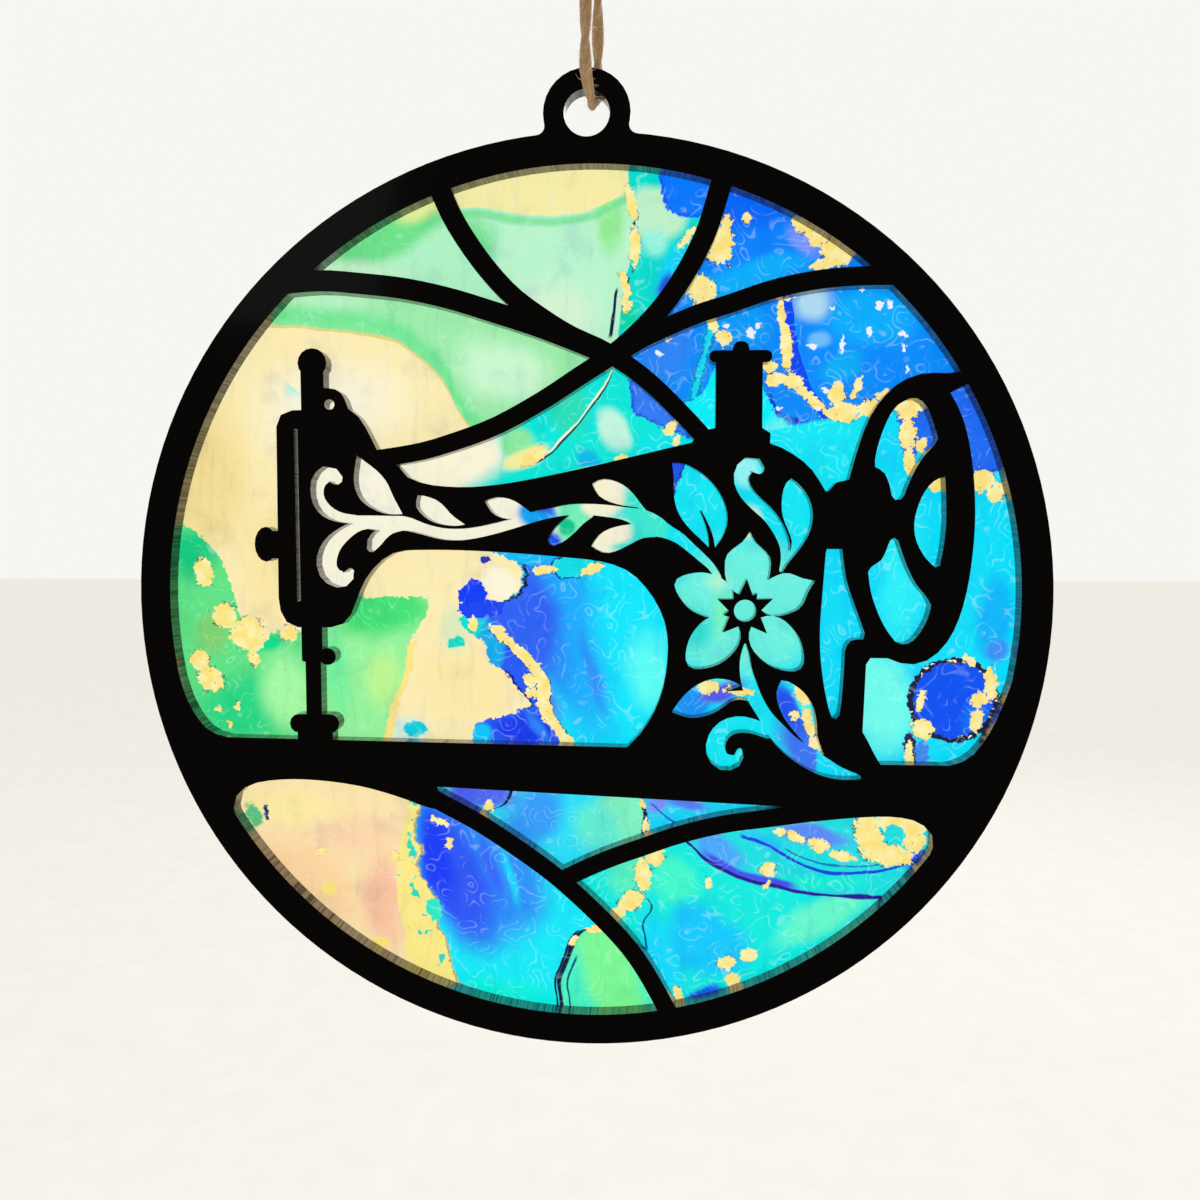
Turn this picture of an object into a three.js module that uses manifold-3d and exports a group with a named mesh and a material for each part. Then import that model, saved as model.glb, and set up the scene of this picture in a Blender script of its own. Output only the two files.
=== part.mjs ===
// An acrylic suncatcher. A black cut-out layer shows an old hand-wheel sewing machine under a round
// of curved bars, a translucent printed disc is glued behind it, and a loop of jute twine runs
// through the tab at the top.
// Millimetres, +Z up, the front faces -Y. The origin is inside the top of the twine's loop.

import * as THREE from 'three';
import { mergeVertices } from 'three/addons/utils/BufferGeometryUtils.js';
import Module from 'manifold-3d';

const wasm = await Module();
wasm.setup();

// Black front layer
const discRadius = 75;
const ringWidth = 5;
const frameThickness = 3;

// Hanging tab, whose hole takes the twine
const holeDiameter = 7.4;
const tabWall = 3.3;
const holeAboveDisc = 2.9;
const tabFillet = 1.4;

// Printed panel, set in from the edge of the front layer and glued to its back
const panelInset = 1.5;
const panelThickness = 3;
const glueLine = 0.1;

// Twine, and how far above the hole its loop reaches
const twineDiameter = 1.9;
const twineBend = 3.8;
const twineClearance = 0.2;
const twineDrift = 1.5;
const twineTurn = 30;
const twineSides = 8;
const twineSteps = 56;
const loopReach = 42;
const knotDrop = 13;
const knotRadius = 2.4;
const knotLength = 4.6;
const knotGap = 0.3;
const tailLength = 6;
const tailSpread = 2.2;
const tailDroop = 108;
const tailTaper = 0.8;

// Curved bars of the picture, wide where they leave the ring and slimmer where they meet
const barAtRing = 3.4;
const barAtMiddle = 2.8;
const barBelow = 3;

// Slim cut down the machine's face, the bore by its take-up lever and the eye of the flower
const slitWidth = 0.6;
const leverBore = 1.7;
const flowerEye = 3.6;

// Longest steps along a gentle and a tight curve, the round parts' segments, and how far cutters
// run past the faces
const gentleStep = 2.2;
const tightStep = 1.1;
const ringSegments = 144;
const boreSegments = 32;
const filletSegments = 6;
const cutterRun = 1;

// Heights of the disc's centre and the hole, from the origin
const innerRadius = discRadius - ringWidth;
const holeRadius = holeDiameter / 2;
const tabRadius = holeRadius + tabWall;
const holeFromCentre = discRadius + holeAboveDisc;
const twineRadius = twineDiameter / 2;
const twineInside = twineBend - twineRadius;
const webReach = Math.sqrt((twineInside - twineClearance) ** 2 - (frameThickness / 2) ** 2);
const holeHeight = -loopReach;
const discHeight = holeHeight - holeFromCentre;
const bightHeight = holeHeight + holeRadius + webReach;
const crownHeight = -twineInside;
const degree = Math.PI / 180;

// The picture is drawn in hundredths of the disc's radius, from the disc's centre.
const share = discRadius / 100;

// A closed outline made of smooth runs that meet at corners, each run starting where the last ended.
function drawn(longestStep, ...runs) {
  let corner = runs.at(-1).at(-1);
  const outline = [];
  for (const run of runs) {
    const stops = [corner, ...run].map(([x, z]) => new THREE.Vector2(x * share, z * share));
    const curve = stops.length > 2 ? new THREE.SplineCurve(stops) : new THREE.LineCurve(...stops);
    const steps = stops.length > 2 ? Math.ceil(curve.getLength() / longestStep) : 1;
    outline.push(...curve.getSpacedPoints(steps).slice(1));
    corner = run.at(-1);
  }
  return outline;
}

// A stroke like a brush's, given as [x, z, width] along its middle, with round ends.
function stroke(stops) {
  const middle = new THREE.CatmullRomCurve3(stops.map(([x, z, width]) => new THREE.Vector3(x, z, width)));
  const steps = Math.ceil(middle.getLength() * share / tightStep);
  const near = [];
  const far = [];
  for (let step = 0; step <= steps; step += 1) {
    const stop = middle.getPointAt(step / steps);
    const along = middle.getTangentAt(step / steps);
    const across = new THREE.Vector2(-along.y, along.x).normalize();
    const centre = new THREE.Vector2(stop.x, stop.y);
    near.push(centre.clone().addScaledVector(across, stop.z / 2));
    far.unshift(centre.clone().addScaledVector(across, -stop.z / 2));
  }
  return [...near, ...cap(near.at(-1), far[0]), ...far, ...cap(far.at(-1), near[0])]
    .map((corner) => corner.multiplyScalar(share));
}

// The corners of a half circle from one end of a stroke's edge round to the other, without the ends.
function cap(from, to) {
  const centre = from.clone().add(to).multiplyScalar(0.5);
  return [-45, -90, -135].map((turn) => from.clone().rotateAround(centre, turn * degree));
}

// A bar with square ends along a smooth line, with its width in millimetres at either end.
function bar(line, startWidth, endWidth) {
  const middle = new THREE.SplineCurve(line.map(([x, z]) => new THREE.Vector2(x * share, z * share)));
  const steps = Math.ceil(middle.getLength() / gentleStep);
  const left = [];
  const right = [];
  for (let step = 0; step <= steps; step += 1) {
    const at = step / steps;
    const along = middle.getTangentAt(at);
    const reach = THREE.MathUtils.lerp(startWidth, endWidth, at) / 2;
    const across = new THREE.Vector2(-along.y, along.x).multiplyScalar(reach);
    left.push(middle.getPointAt(at).add(across));
    right.unshift(middle.getPointAt(at).sub(across));
  }
  return [...left, ...right];
}

function round(x, z, radius, segments, squeeze = 1) {
  const outline = [];
  for (let step = 0; step < segments; step += 1) {
    const turn = 2 * Math.PI * step / segments;
    outline.push(new THREE.Vector2(x + radius * squeeze * Math.cos(turn), z + radius * Math.sin(turn)));
  }
  return outline;
}

// A circle, or an upright oval, in the picture's shares.
function spot(x, z, radius, squeeze) {
  return round(x * share, z * share, radius * share, boreSegments / 2, squeeze);
}

// A box in the picture's shares, whose corners have the given radius.
function plate(left, right, low, high, corner) {
  const outline = [];
  const turns = [[right - corner, high - corner, 0], [left + corner, high - corner, 90],
    [left + corner, low + corner, 180], [right - corner, low + corner, 270]];
  for (const [x, z, start] of turns) {
    for (const turn of [0, 30, 60, 90]) {
      const angle = (start + turn) * degree;
      outline.push(new THREE.Vector2(x + corner * Math.cos(angle), z + corner * Math.sin(angle)));
    }
  }
  return outline.map((point) => point.multiplyScalar(share));
}

function solid(geometry) {
  const bare = geometry.clone();
  bare.deleteAttribute('normal');
  bare.deleteAttribute('uv');
  const joined = mergeVertices(bare, 1e-4);
  return new wasm.Manifold(new wasm.Mesh({
    numProp: 3,
    vertProperties: new Float32Array(joined.attributes.position.array),
    triVerts: new Uint32Array(joined.index.array),
  }));
}

function geometryOf(body) {
  const mesh = body.getMesh();
  const geometry = new THREE.BufferGeometry();
  geometry.setAttribute('position', new THREE.BufferAttribute(new Float32Array(mesh.vertProperties), 3));
  geometry.setIndex(new THREE.BufferAttribute(new Uint32Array(mesh.triVerts), 1));
  return geometry;
}

// A slab of an outline drawn round the disc's centre, between two depths behind the front face.
function slabGeometry(outline, from, to) {
  const shape = new THREE.Shape(outline);
  const geometry = new THREE.ExtrudeGeometry(shape, { depth: to - from, bevelEnabled: false });
  geometry.rotateX(Math.PI / 2);
  geometry.translate(0, to - frameThickness / 2, discHeight);
  return geometry;
}

function slab(outline, from, to) {
  return solid(slabGeometry(outline, from, to));
}

// A cutter runs past both faces of the front layer, and what is kept from it runs past the cutter.
const cutter = (outline) => slab(outline, -cutterRun, frameThickness + cutterRun);
const keeper = (outline) => slab(outline, -2 * cutterRun, frameThickness + 2 * cutterRun);

// Bars from the ring to where they cross, and on to the machine and its base.
const bars = [
  bar([[-34, 94], [-31.4, 88], [-28.9, 82.5], [-25.5, 77], [-21.5, 71.6], [-16.5, 66.2], [-11, 62],
    [-4, 57.6], [3, 54.4], [8, 51.4], [12, 48.5], [16, 45], [20, 41], [24, 36.8], [28, 32]],
  barAtRing, barAtMiddle),
  bar([[30, 94], [28.3, 88], [26, 80.3], [23.7, 75], [20, 68.5], [15.8, 62.8], [11, 57.8], [5.5, 53.2],
    [-2, 48.4], [-10, 43.3], [-20, 38], [-30, 34.4], [-38, 32.3], [-50, 30.6]],
  barAtRing, barAtMiddle),
  bar([[-70, 68.3], [-64, 69.2], [-57, 69.5], [-50, 68.9], [-40, 67.7], [-30, 65.5], [-20, 62.4],
    [-10, 59.1], [0, 55.2], [4, 53.4]],
  barAtRing, barAtRing),
  bar([[7, 53.6], [12, 56.6], [18.3, 59.4], [24, 61.7], [30, 63.5], [40, 66.7], [50, 68.6], [60, 69.2],
    [70, 69]],
  barBelow, barBelow),
  bar([[-46, -39.4], [-39, -42], [-31.3, -46], [-23.2, -50.4], [-11.3, -58.4], [-3.6, -64.6],
    [6, -73.9], [12, -81.4], [18, -92], [19.5, -95]],
  barBelow, barBelow),
  bar([[-6, -62.6], [0, -59.6], [6, -57], [12, -54.8], [20, -51.9], [30, -49.3], [40, -47.8],
    [52, -46]],
  barBelow, barBelow),
];

// Side view of the machine, from its head over the arm and round the hand wheel to the pillar.
const machine = drawn(
  gentleStep,
  [[-68.4, 38.2]],
  [[-67.5, 40.6], [-64.8, 41.7]],
  [[-52.2, 41.9]],
  [[-50.4, 40.6], [-48.6, 38], [-46, 32.8]],
  [[-41.2, 29.2]],
  [[-39.8, 27.3], [-36, 25.7], [-31, 25], [-25, 24.9], [-18, 25.6], [-10, 27], [0, 29.1], [10, 31.4],
    [19, 33.5], [22.6, 34.3]],
  [[24.6, 36.6], [27.6, 37.4]],
  [[37.7, 37.4]],
  [[39.2, 36.7], [39.7, 35.4], [39.4, 34.1]],
  [[42.2, 33], [45.2, 31.2], [48, 28.9], [50, 26.1], [51.4, 23.8]],
  [[51.9, 23.8]],
  [[52.7, 24.9], [54.2, 26], [56.3, 26.3]],
  [[57.2, 29.7], [58.5, 34.3], [60.4, 39.4], [63, 43.4], [66.2, 46.5], [69.5, 48.2], [73, 48.8],
    [76.6, 48.7]],
  [[88, 50]],
  [[77.3, 44.6]],
  [[79, 41.6], [80.6, 37.6], [81.9, 32], [82.7, 26], [83.1, 19], [82.9, 12], [82.1, 4.5], [80.7, -2],
    [78.6, -7.3], [75.8, -11], [72.6, -13.1], [69.3, -13.5], [66.6, -12.8], [65.2, -12.2]],
  [[61.5, -12.2]],
  [[60.6, -13.6]],
  [[60.1, -28.4]],
  [[61.6, -31], [63.1, -34], [65, -36.8]],
  [[65, -39]],
  [[5.4, -39]],
  [[5.4, -35.6]],
  [[8.8, -32.3], [12, -28.8], [14.9, -24], [16.9, -18], [17.7, -11], [17.2, -5.5], [15.5, -1],
    [12.8, 3], [9.4, 6.3], [5, 8.2], [0, 9.1]],
  [[-10, 10], [-20, 10.7], [-30, 11.1], [-40, 11], [-43.4, 10.1], [-46.4, 7.9], [-49.2, 4.4],
    [-50.9, 0.6], [-52.3, -3], [-54.3, -5.3], [-57, -6.1]],
  [[-64.4, -6.1]],
  [[-66.8, -5.1], [-68.2, -2.8], [-68.7, 0.4]],
);

// Low base under the machine, as wide as the disc.
const base = drawn(
  gentleStep,
  [[-91.7, -17.4]],
  [[-90.2, -22.2], [-88, -26.4], [-85, -29.7], [-81, -31]],
  [[14, -32.4]],
  [[14, -35.4]],
  [[79, -35.6]],
  [[82.7, -34.2], [85.5, -31.2], [87.9, -27.2], [89.8, -22.8], [91.7, -17.4]],
  [[97, -15]],
  [[97, -60]],
  [[74.8, -56.2]],
  [[75.9, -52.8], [75, -50.3], [72.6, -48.3], [69, -47.3], [64, -47.1], [57, -47.6], [50, -48.4]],
  [[44.4, -45.2]],
  [[-33.6, -41.7]],
  [[-32, -47]],
  [[-36, -46.4], [-40, -44.9], [-45, -43.3], [-51, -41.8], [-58, -40.8], [-65, -40.4], [-71, -40.7],
    [-75.8, -41.7], [-78.8, -43.7], [-80, -46.6], [-79.4, -50]],
  [[-97, -50]],
  [[-97, -15]],
);

// Spool pin on the arm, take-up post and lever, thumb knob, needle bar and presser foot.
const fittings = [
  plate(27.7, 37.7, 33, 52.5, 0.4),
  plate(26.3, 39.7, 51.3, 53.9, 1.2),
  plate(31.3, 34.8, 50, 55.8, 1.5),
  plate(-62.8, -57.7, 38, 51, 0.3),
  spot(-60.2, 51.9, 3.2),
  drawn(tightStep, [[-58, 46.5]], [[-55.2, 46.2], [-53.4, 44.7], [-52.2, 41.5]], [[-58, 40]]),
  spot(-71.3, 12.35, 3.85, 0.66),
  plate(-71, -66, 9.2, 15.3, 0.3),
  plate(-63.7, -59, -13.8, -5, 0.5),
  plate(-62.9, -59.4, -27, -12, 0.3),
  spot(-57.9, -12.6, 1.9),
  plate(-66.7, -55.5, -29.8, -25.6, 2),
  plate(-65, -57, -33, -28, 0.5),
];

// Openings left in the hand wheel, and the gap between it and the pillar.
const wheelOpenings = [
  drawn(
    tightStep,
    [[61.7, 30], [62.2, 33], [63.5, 37.2], [65.5, 41.2], [68, 43.1], [70.3, 43.5], [72.3, 41.9],
      [73.8, 38.6], [74.9, 35]],
    [[74.2, 33.6], [72.3, 31.6], [70.4, 28.6], [68.9, 25.3], [68.1, 23]],
    [[67.4, 22.1], [66.1, 22], [65.4, 22.9]],
    [[64.8, 25.5], [63.7, 27.8], [61.8, 29]],
  ),
  drawn(
    tightStep,
    [[76.4, 26.9], [74.2, 25.9], [72.2, 23.4], [70.7, 19.5], [70.3, 16], [71, 12.7], [72.8, 9.6],
      [74.9, 7.5]],
    [[75.9, 7.9]],
    [[76.6, 12], [77, 17], [76.9, 22], [76.6, 26.9]],
  ),
  drawn(
    tightStep,
    [[65.2, 13.2], [66, 13.9], [67, 13.2]],
    [[67.9, 10.5], [69.2, 7.2], [71, 3.8], [73, 1.4], [74.2, -0.6]],
    [[73.8, -2.8], [72.6, -5.6], [70.8, -8.1], [68.7, -9.2], [66.7, -8.5]],
    [[64.5, -5.5], [62.6, -1.5], [61.3, 2.5], [60.7, 6.6]],
    [[61.6, 7.8], [63.4, 9], [64.5, 11.2]],
  ),
  drawn(
    tightStep,
    [[51.8, 11.4]],
    [[55.1, 11.4]],
    [[55.6, 7.5], [56.3, 4], [57.5, 0.5], [58.8, -3], [60.2, -6.8]],
    [[59.9, -8.1]],
    [[57.8, -8.2], [56.6, -9], [56, -10.8]],
    [[55.8, -16], [55.4, -22], [55, -24.8]],
    [[54.2, -25.7], [53.4, -25.2]],
    [[52.5, -22.5], [51.5, -17.5], [50.8, -12], [50.6, -6], [50.9, 0], [51.3, 6], [51.6, 10.5]],
  ),
];

// The vine cut out of the head and arm: stems and scrolls as strokes, leaves as outlines.
const vineStrokes = [
  [[-55.2, 26.8, 2.8], [-57, 27.9, 3.6], [-59, 26.4, 3.4], [-59.6, 24, 2.9], [-59.1, 21.6, 2.9],
    [-57.3, 19.5, 2.8], [-54.6, 18.3, 2.2], [-51, 17.8, 1.9]],
  [[-52.4, 6.3, 1.6], [-53.4, 4.9, 3.2], [-55.6, 4.8, 4], [-57.4, 6.5, 4.4], [-57.7, 9, 4.5],
    [-56.5, 12, 4.1], [-53.8, 14.6, 3.2], [-50.6, 16.4, 2.4], [-47, 17, 2]],
  [[-47.6, 11.7, 2.2], [-46.9, 13, 3.2], [-45.3, 14.6, 2.8], [-43.2, 15.8, 2.2], [-41, 16.4, 2.2]],
  [[-51.6, 17.9, 1.6], [-48, 17.2, 3], [-44, 16.9, 3.4], [-40, 16.9, 3.1], [-36, 15.7, 2.5],
    [-32, 14.7, 2.5], [-28, 14.5, 2.5], [-24, 15, 2.4], [-20, 15.9, 2.3], [-16, 17, 2.2],
    [-12, 18.3, 2.3], [-8, 19.2, 2.1], [-4, 19.9, 2.3], [0, 20, 2.4], [4, 19.7, 2.6], [8, 19.1, 2.8],
    [12, 17.9, 4.2], [15, 16.3, 4.4], [17.5, 15.1, 3], [20, 13.8, 2.5], [22.5, 11.7, 2.1],
    [25, 9.5, 1.9], [27, 7.6, 1.6], [28.6, 5.2, 1.4]],
  [[-7.3, 13.3, 2.5], [-6, 14.5, 3.5], [-4, 16.3, 3.7], [-2, 18, 3.3], [0.5, 19.4, 2.5]],
];
const vineLeaves = [
  [[[-48.4, 30.2], [-46, 28.3], [-44, 25.9], [-42.6, 22.8], [-40.6, 19]],
    [[-44, 19], [-47, 20], [-49.6, 21.8], [-51, 24.3], [-51.3, 27.3], [-50.6, 31.8]]],
  [[[-35.5, 22.9], [-33, 22], [-31.3, 20.6], [-29.6, 18.7], [-26.8, 16.7]],
    [[-28.8, 16.4], [-31.5, 16.6], [-34.2, 17.4], [-36.2, 18.8], [-37.6, 20.7], [-37.2, 23.1]]],
  [[[-20, 22.6], [-17.5, 22.4], [-15.3, 21.5], [-12.4, 19.4]],
    [[-14.9, 18.2], [-17, 17.9], [-19.2, 18.3], [-21, 19.5], [-22.4, 21.8]]],
  [[[3, 26.5], [5.5, 26.3], [8, 25.2], [10, 23.4], [12, 20.8], [14.4, 18]],
    [[11.6, 20.2], [8, 20.8], [5, 21.6], [2.5, 23], [1.1, 25.5]]],
  [[[3.5, 10.6], [6, 10.8], [9, 12.2], [12, 13.7], [15, 14]],
    [[12.2, 17], [9, 16.7], [5.5, 16], [2.8, 14.6], [0.9, 12]]],
];

// The flower on the pillar: five petals round an eye, each notched where the star's spike points.
const flowerX = 34.4;
const flowerZ = -2;
const petals = [
  { turn: 87, reach: 17.2, breadth: 4.9, tip: 0.25 },
  { turn: 23.5, reach: 16.4, breadth: 4.3, tip: 0.3 },
  { turn: -46, reach: 17.3, breadth: 4.8, tip: 0.62 },
  { turn: -135, reach: 17, breadth: 4.8, tip: 0.62 },
  { turn: 157.5, reach: 16.2, breadth: 4.6, tip: 0.6 },
];

function petal({ turn, reach, breadth, tip }) {
  const side = [[0.2, 0.3], [0.25, 0.62], [0.35, 0.88], [0.5, 1], [0.7, 0.93], [0.88, tip]];
  const place = ([along, across]) => {
    const point = new THREE.Vector2(along * reach, across * breadth);
    point.rotateAround(new THREE.Vector2(), turn * degree);
    return [flowerX + point.x, flowerZ + point.y];
  };
  const end = tip > 0.5 ? [[1, 0.2], [1, -0.2]] : [[1, 0]];
  const outer = [...side, ...end, ...side.map(([along, across]) => [along, -across]).reverse()];
  return drawn(tightStep, [place([0.2, 0.3])], outer.slice(1).map(place), [place([0.4, 0])]);
}

// Leaves, curl and stem cut out of the pillar round the flower, one leaf with a vein left in it.
const pillarStrokes = [
  [[37.1, 28.7, 2.4], [35.8, 29.7, 3.4], [34, 28.7, 3.5], [33.3, 26.5, 3.2], [34.3, 23.8, 3.1],
    [36.5, 21.3, 3], [39.3, 18.7, 2.9], [41.4, 15.7, 2.7], [42.8, 12.3, 2.3], [42.9, 9.3, 1.8],
    [42.1, 6.8, 0.9]],
  [[34.5, -9.4, 0.5], [34.5, -12, 2], [34.7, -15, 2.7], [35.6, -18.5, 3.3], [37, -21.7, 3.1],
    [39, -25, 3], [41.5, -28.4, 4], [44.5, -31.5, 4.3], [48, -34, 4.5], [51.5, -36, 4.1],
    [55, -37.5, 2.9], [59.4, -38.4, 1.1]],
  [[33.5, -32.9, 1.3], [33.2, -34.4, 2.3], [32, -35.3, 3.3], [30, -35.3, 3.9], [28.5, -33.7, 4.2],
    [28.3, -31.3, 4.2], [29.5, -28.8, 4], [31.5, -27.4, 3.8], [34, -27, 3.6], [36.8, -27.5, 3.2],
    [39.8, -28.6, 3]],
];
const pillarLeaves = [
  [[[45.6, 25.4], [47.4, 23.2], [48.5, 20.5], [48.7, 17.8], [48, 14.8], [46.4, 12], [44.4, 9.4],
    [42, 6.3]],
    [[43.4, 9], [44.3, 12.4], [43.9, 14.5], [42.8, 17], [42.1, 19.5], [42.1, 22.5], [42.7, 25.2],
      [44, 26.6]]],
  [[[21, -21], [24, -18.4], [27.5, -17], [31, -17.2], [33.8, -18.4]],
    [[30.6, -19.7]],
    [[36, -19.4]],
    [[36.4, -22.1]],
    [[33.6, -21.5], [31.6, -21.9], [29.3, -23.6], [26.3, -25.1], [22.5, -25.6], [18.6, -24.4]]],
  [[[44.5, -17.7], [47.5, -20], [49.4, -23], [50.2, -26.5], [50.4, -29.5], [51.8, -33.4]],
    [[50, -35]],
    [[48.4, -31.9]],
    [[46.3, -29.6], [43.6, -26.2], [42, -23], [41.4, -19.8], [42.4, -17.2]]],
];
const veinedLeaf = [
  [[20.2, 29.9], [22, 29.4], [25, 27.6], [27.5, 25.2], [29.4, 22.2], [30.4, 19], [30.3, 16.5],
    [29.4, 14], [27.6, 11.4]],
  [[26.6, 11.6]],
  [[25, 13.2], [22.5, 15.6], [20.4, 18.2], [19.2, 21], [18.8, 24], [18.8, 27], [18.4, 30]],
];
const leafVein = [[24.7, 19.6, 0.3], [25.9, 17, 0.6], [26.8, 14.3, 1], [27.3, 10.5, 1.4]];

// The neck's outline, whose two hollow fillets touch both the disc's edge and the tab's.
function neckOutline() {
  const toFillet = discRadius + tabFillet;
  const tabToFillet = tabRadius + tabFillet;
  const height = (toFillet ** 2 - tabToFillet ** 2 + holeFromCentre ** 2) / (2 * holeFromCentre);
  const offset = Math.sqrt(toFillet ** 2 - height ** 2);
  const fillet = new THREE.Vector2(offset, height);
  const low = fillet.clone().multiplyScalar(discRadius / toFillet);
  const tabCentre = new THREE.Vector2(0, holeFromCentre);
  const high = fillet.clone().sub(tabCentre).multiplyScalar(tabRadius / tabToFillet).add(tabCentre);
  const start = low.clone().sub(fillet).angle();
  const end = high.clone().sub(fillet).angle();
  const right = [];
  for (let step = 0; step <= filletSegments; step += 1) {
    const turn = start + (end - start) * step / filletSegments;
    right.push(new THREE.Vector2(Math.cos(turn), Math.sin(turn)).multiplyScalar(tabFillet).add(fillet));
  }
  const left = right.map(({ x, y }) => new THREE.Vector2(-x, y)).reverse();
  const root = [new THREE.Vector2(-offset, innerRadius), new THREE.Vector2(offset, innerRadius)];
  return [...root, ...right, ...left];
}

// The slim cut down the machine's face, and the bore by its take-up lever.
const slitX = -64.1;
const slitLow = -0.3;
const slitHigh = 37.6;
const leverX = -56.5;
const leverZ = 42.9;

function frameBody() {
  let openings = cutter(round(0, 0, innerRadius, ringSegments));
  for (const outline of [...bars, machine, base, ...fittings]) {
    openings = openings.subtract(keeper(outline));
  }
  let body = slab(round(0, 0, discRadius, ringSegments), 0, frameThickness)
    .add(slab(round(0, holeFromCentre, tabRadius, boreSegments), 0, frameThickness))
    .add(slab(neckOutline(), 0, frameThickness))
    .subtract(openings)
    .subtract(cutter(round(0, holeFromCentre, holeRadius, boreSegments)))
    .subtract(cutter(round(leverX * share, leverZ * share, leverBore / 2, boreSegments / 2)))
    .subtract(cutter(round(flowerX * share, flowerZ * share, flowerEye / 2, boreSegments)));
  const slitHalf = slitWidth / share / 2;
  const cuts = [
    plate(slitX - slitHalf, slitX + slitHalf, slitLow, slitHigh, slitHalf / 2),
    ...wheelOpenings,
    ...vineStrokes.map(stroke),
    ...vineLeaves.map((runs) => drawn(tightStep, ...runs)),
    ...petals.map(petal),
    ...pillarStrokes.map(stroke),
    ...pillarLeaves.map((runs) => drawn(tightStep, ...runs)),
  ];
  for (const outline of cuts) {
    body = body.subtract(cutter(outline));
  }
  return body.subtract(cutter(drawn(tightStep, ...veinedLeaf)).subtract(keeper(stroke(leafVein))));
}

// The twine's middle line: up from the knot, over the top, down in front of the tab, through the
// hole and up behind the tab to the knot again.
function twineLine() {
  const knotEnd = knotLength / 2 + knotGap;
  const points = [
    [twineDrift, twineBend, crownHeight - knotDrop + knotEnd],
    [twineDrift, twineBend, crownHeight - twineBend],
  ];
  for (let turn = 0; turn <= 180; turn += twineTurn) {
    const angle = turn * degree;
    const across = twineDrift * (1 - turn / 180);
    points.push([across, twineBend * Math.cos(angle), crownHeight + twineBend * Math.sin(angle)]);
  }
  const span = crownHeight - bightHeight;
  for (const part of [0.25, 0.5, 0.75]) {
    points.push([0, -twineBend, crownHeight - span * part]);
  }
  for (let turn = 180; turn <= 360; turn += twineTurn) {
    const angle = turn * degree;
    const across = twineDrift * (turn / 180 - 1);
    points.push([across, twineBend * Math.cos(angle), bightHeight + twineBend * Math.sin(angle)]);
  }
  points.push([twineDrift, twineBend, bightHeight + twineBend]);
  points.push([twineDrift, twineBend, crownHeight - knotDrop - knotEnd]);
  const stops = points.map((point) => new THREE.Vector3(...point));
  return new THREE.CatmullRomCurve3(stops, false, 'centripetal');
}

function twineGeometry() {
  const section = new THREE.Shape(round(0, 0, twineRadius, twineSides));
  const extrudePath = twineLine();
  return new THREE.ExtrudeGeometry(section, { steps: twineSteps, bevelEnabled: false, extrudePath });
}

// The knot that closes the loop, with the twine's two short ends standing out of it.
function knotBody() {
  const ball = new THREE.SphereGeometry(1, 12, 8);
  ball.scale(knotRadius, knotRadius, knotLength / 2);
  let body = solid(ball);
  for (const side of [-1, 1]) {
    const tail = new THREE.CylinderGeometry(twineRadius * tailTaper, twineRadius, tailLength, twineSides);
    tail.rotateX(Math.PI / 2);
    tail.translate(0, 0, tailLength / 2);
    tail.rotateY(side * Math.atan2(tailSpread, tailLength));
    tail.rotateX(-tailDroop * degree);
    body = body.add(solid(tail));
  }
  return body.translate([twineDrift, twineBend, crownHeight - knotDrop]);
}

function piece(name, geometry, color, roughness) {
  const material = new THREE.MeshStandardMaterial({ color, roughness, metalness: 0 });
  const mesh = new THREE.Mesh(geometry, material);
  mesh.name = name;
  return mesh;
}

const panelFront = frameThickness + glueLine;
const panelBack = panelFront + panelThickness;
const panelOutline = round(0, 0, discRadius - panelInset, ringSegments);

const suncatcher = new THREE.Group();
suncatcher.add(piece('frame', geometryOf(frameBody()), 0x0a0806, 0.12));
suncatcher.add(piece('panel', slabGeometry(panelOutline, panelFront, panelBack), 0x6fdcc8, 0.3));
suncatcher.add(piece('twine', twineGeometry(), 0xc8a073, 0.9));
suncatcher.add(piece('knot', geometryOf(knotBody()), 0xc8a073, 0.9));

export default suncatcher;
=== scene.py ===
import math
import random

import bpy
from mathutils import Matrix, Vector


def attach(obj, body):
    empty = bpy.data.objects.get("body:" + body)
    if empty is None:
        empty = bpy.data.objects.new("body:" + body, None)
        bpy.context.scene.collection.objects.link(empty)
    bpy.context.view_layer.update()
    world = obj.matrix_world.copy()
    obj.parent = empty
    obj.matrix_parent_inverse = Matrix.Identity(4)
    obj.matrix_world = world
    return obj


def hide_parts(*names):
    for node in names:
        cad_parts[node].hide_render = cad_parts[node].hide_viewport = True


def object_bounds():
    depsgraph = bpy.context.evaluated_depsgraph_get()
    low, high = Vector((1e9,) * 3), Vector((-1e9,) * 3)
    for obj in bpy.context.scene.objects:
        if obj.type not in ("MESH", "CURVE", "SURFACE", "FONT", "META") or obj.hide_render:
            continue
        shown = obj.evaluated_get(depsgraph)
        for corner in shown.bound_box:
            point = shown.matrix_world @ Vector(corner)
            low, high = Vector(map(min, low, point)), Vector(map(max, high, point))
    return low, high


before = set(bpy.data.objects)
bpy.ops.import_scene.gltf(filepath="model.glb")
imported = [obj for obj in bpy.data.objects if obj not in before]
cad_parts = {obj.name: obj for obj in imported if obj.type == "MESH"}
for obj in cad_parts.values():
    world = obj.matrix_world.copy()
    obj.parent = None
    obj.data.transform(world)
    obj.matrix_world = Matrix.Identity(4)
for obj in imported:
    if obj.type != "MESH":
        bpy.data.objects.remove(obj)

cad_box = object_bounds()

# The camera stands a hand's length in front of the disc, a little to its right and above its middle,
# with a short lens that shows the inner walls of every cut.
MM = 0.001
looked_at = Vector((2.12, -1.5, -119.73)) * MM
standing_off = 175 * MM
to_the_right = math.radians(3)
from_above = math.radians(4)

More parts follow.
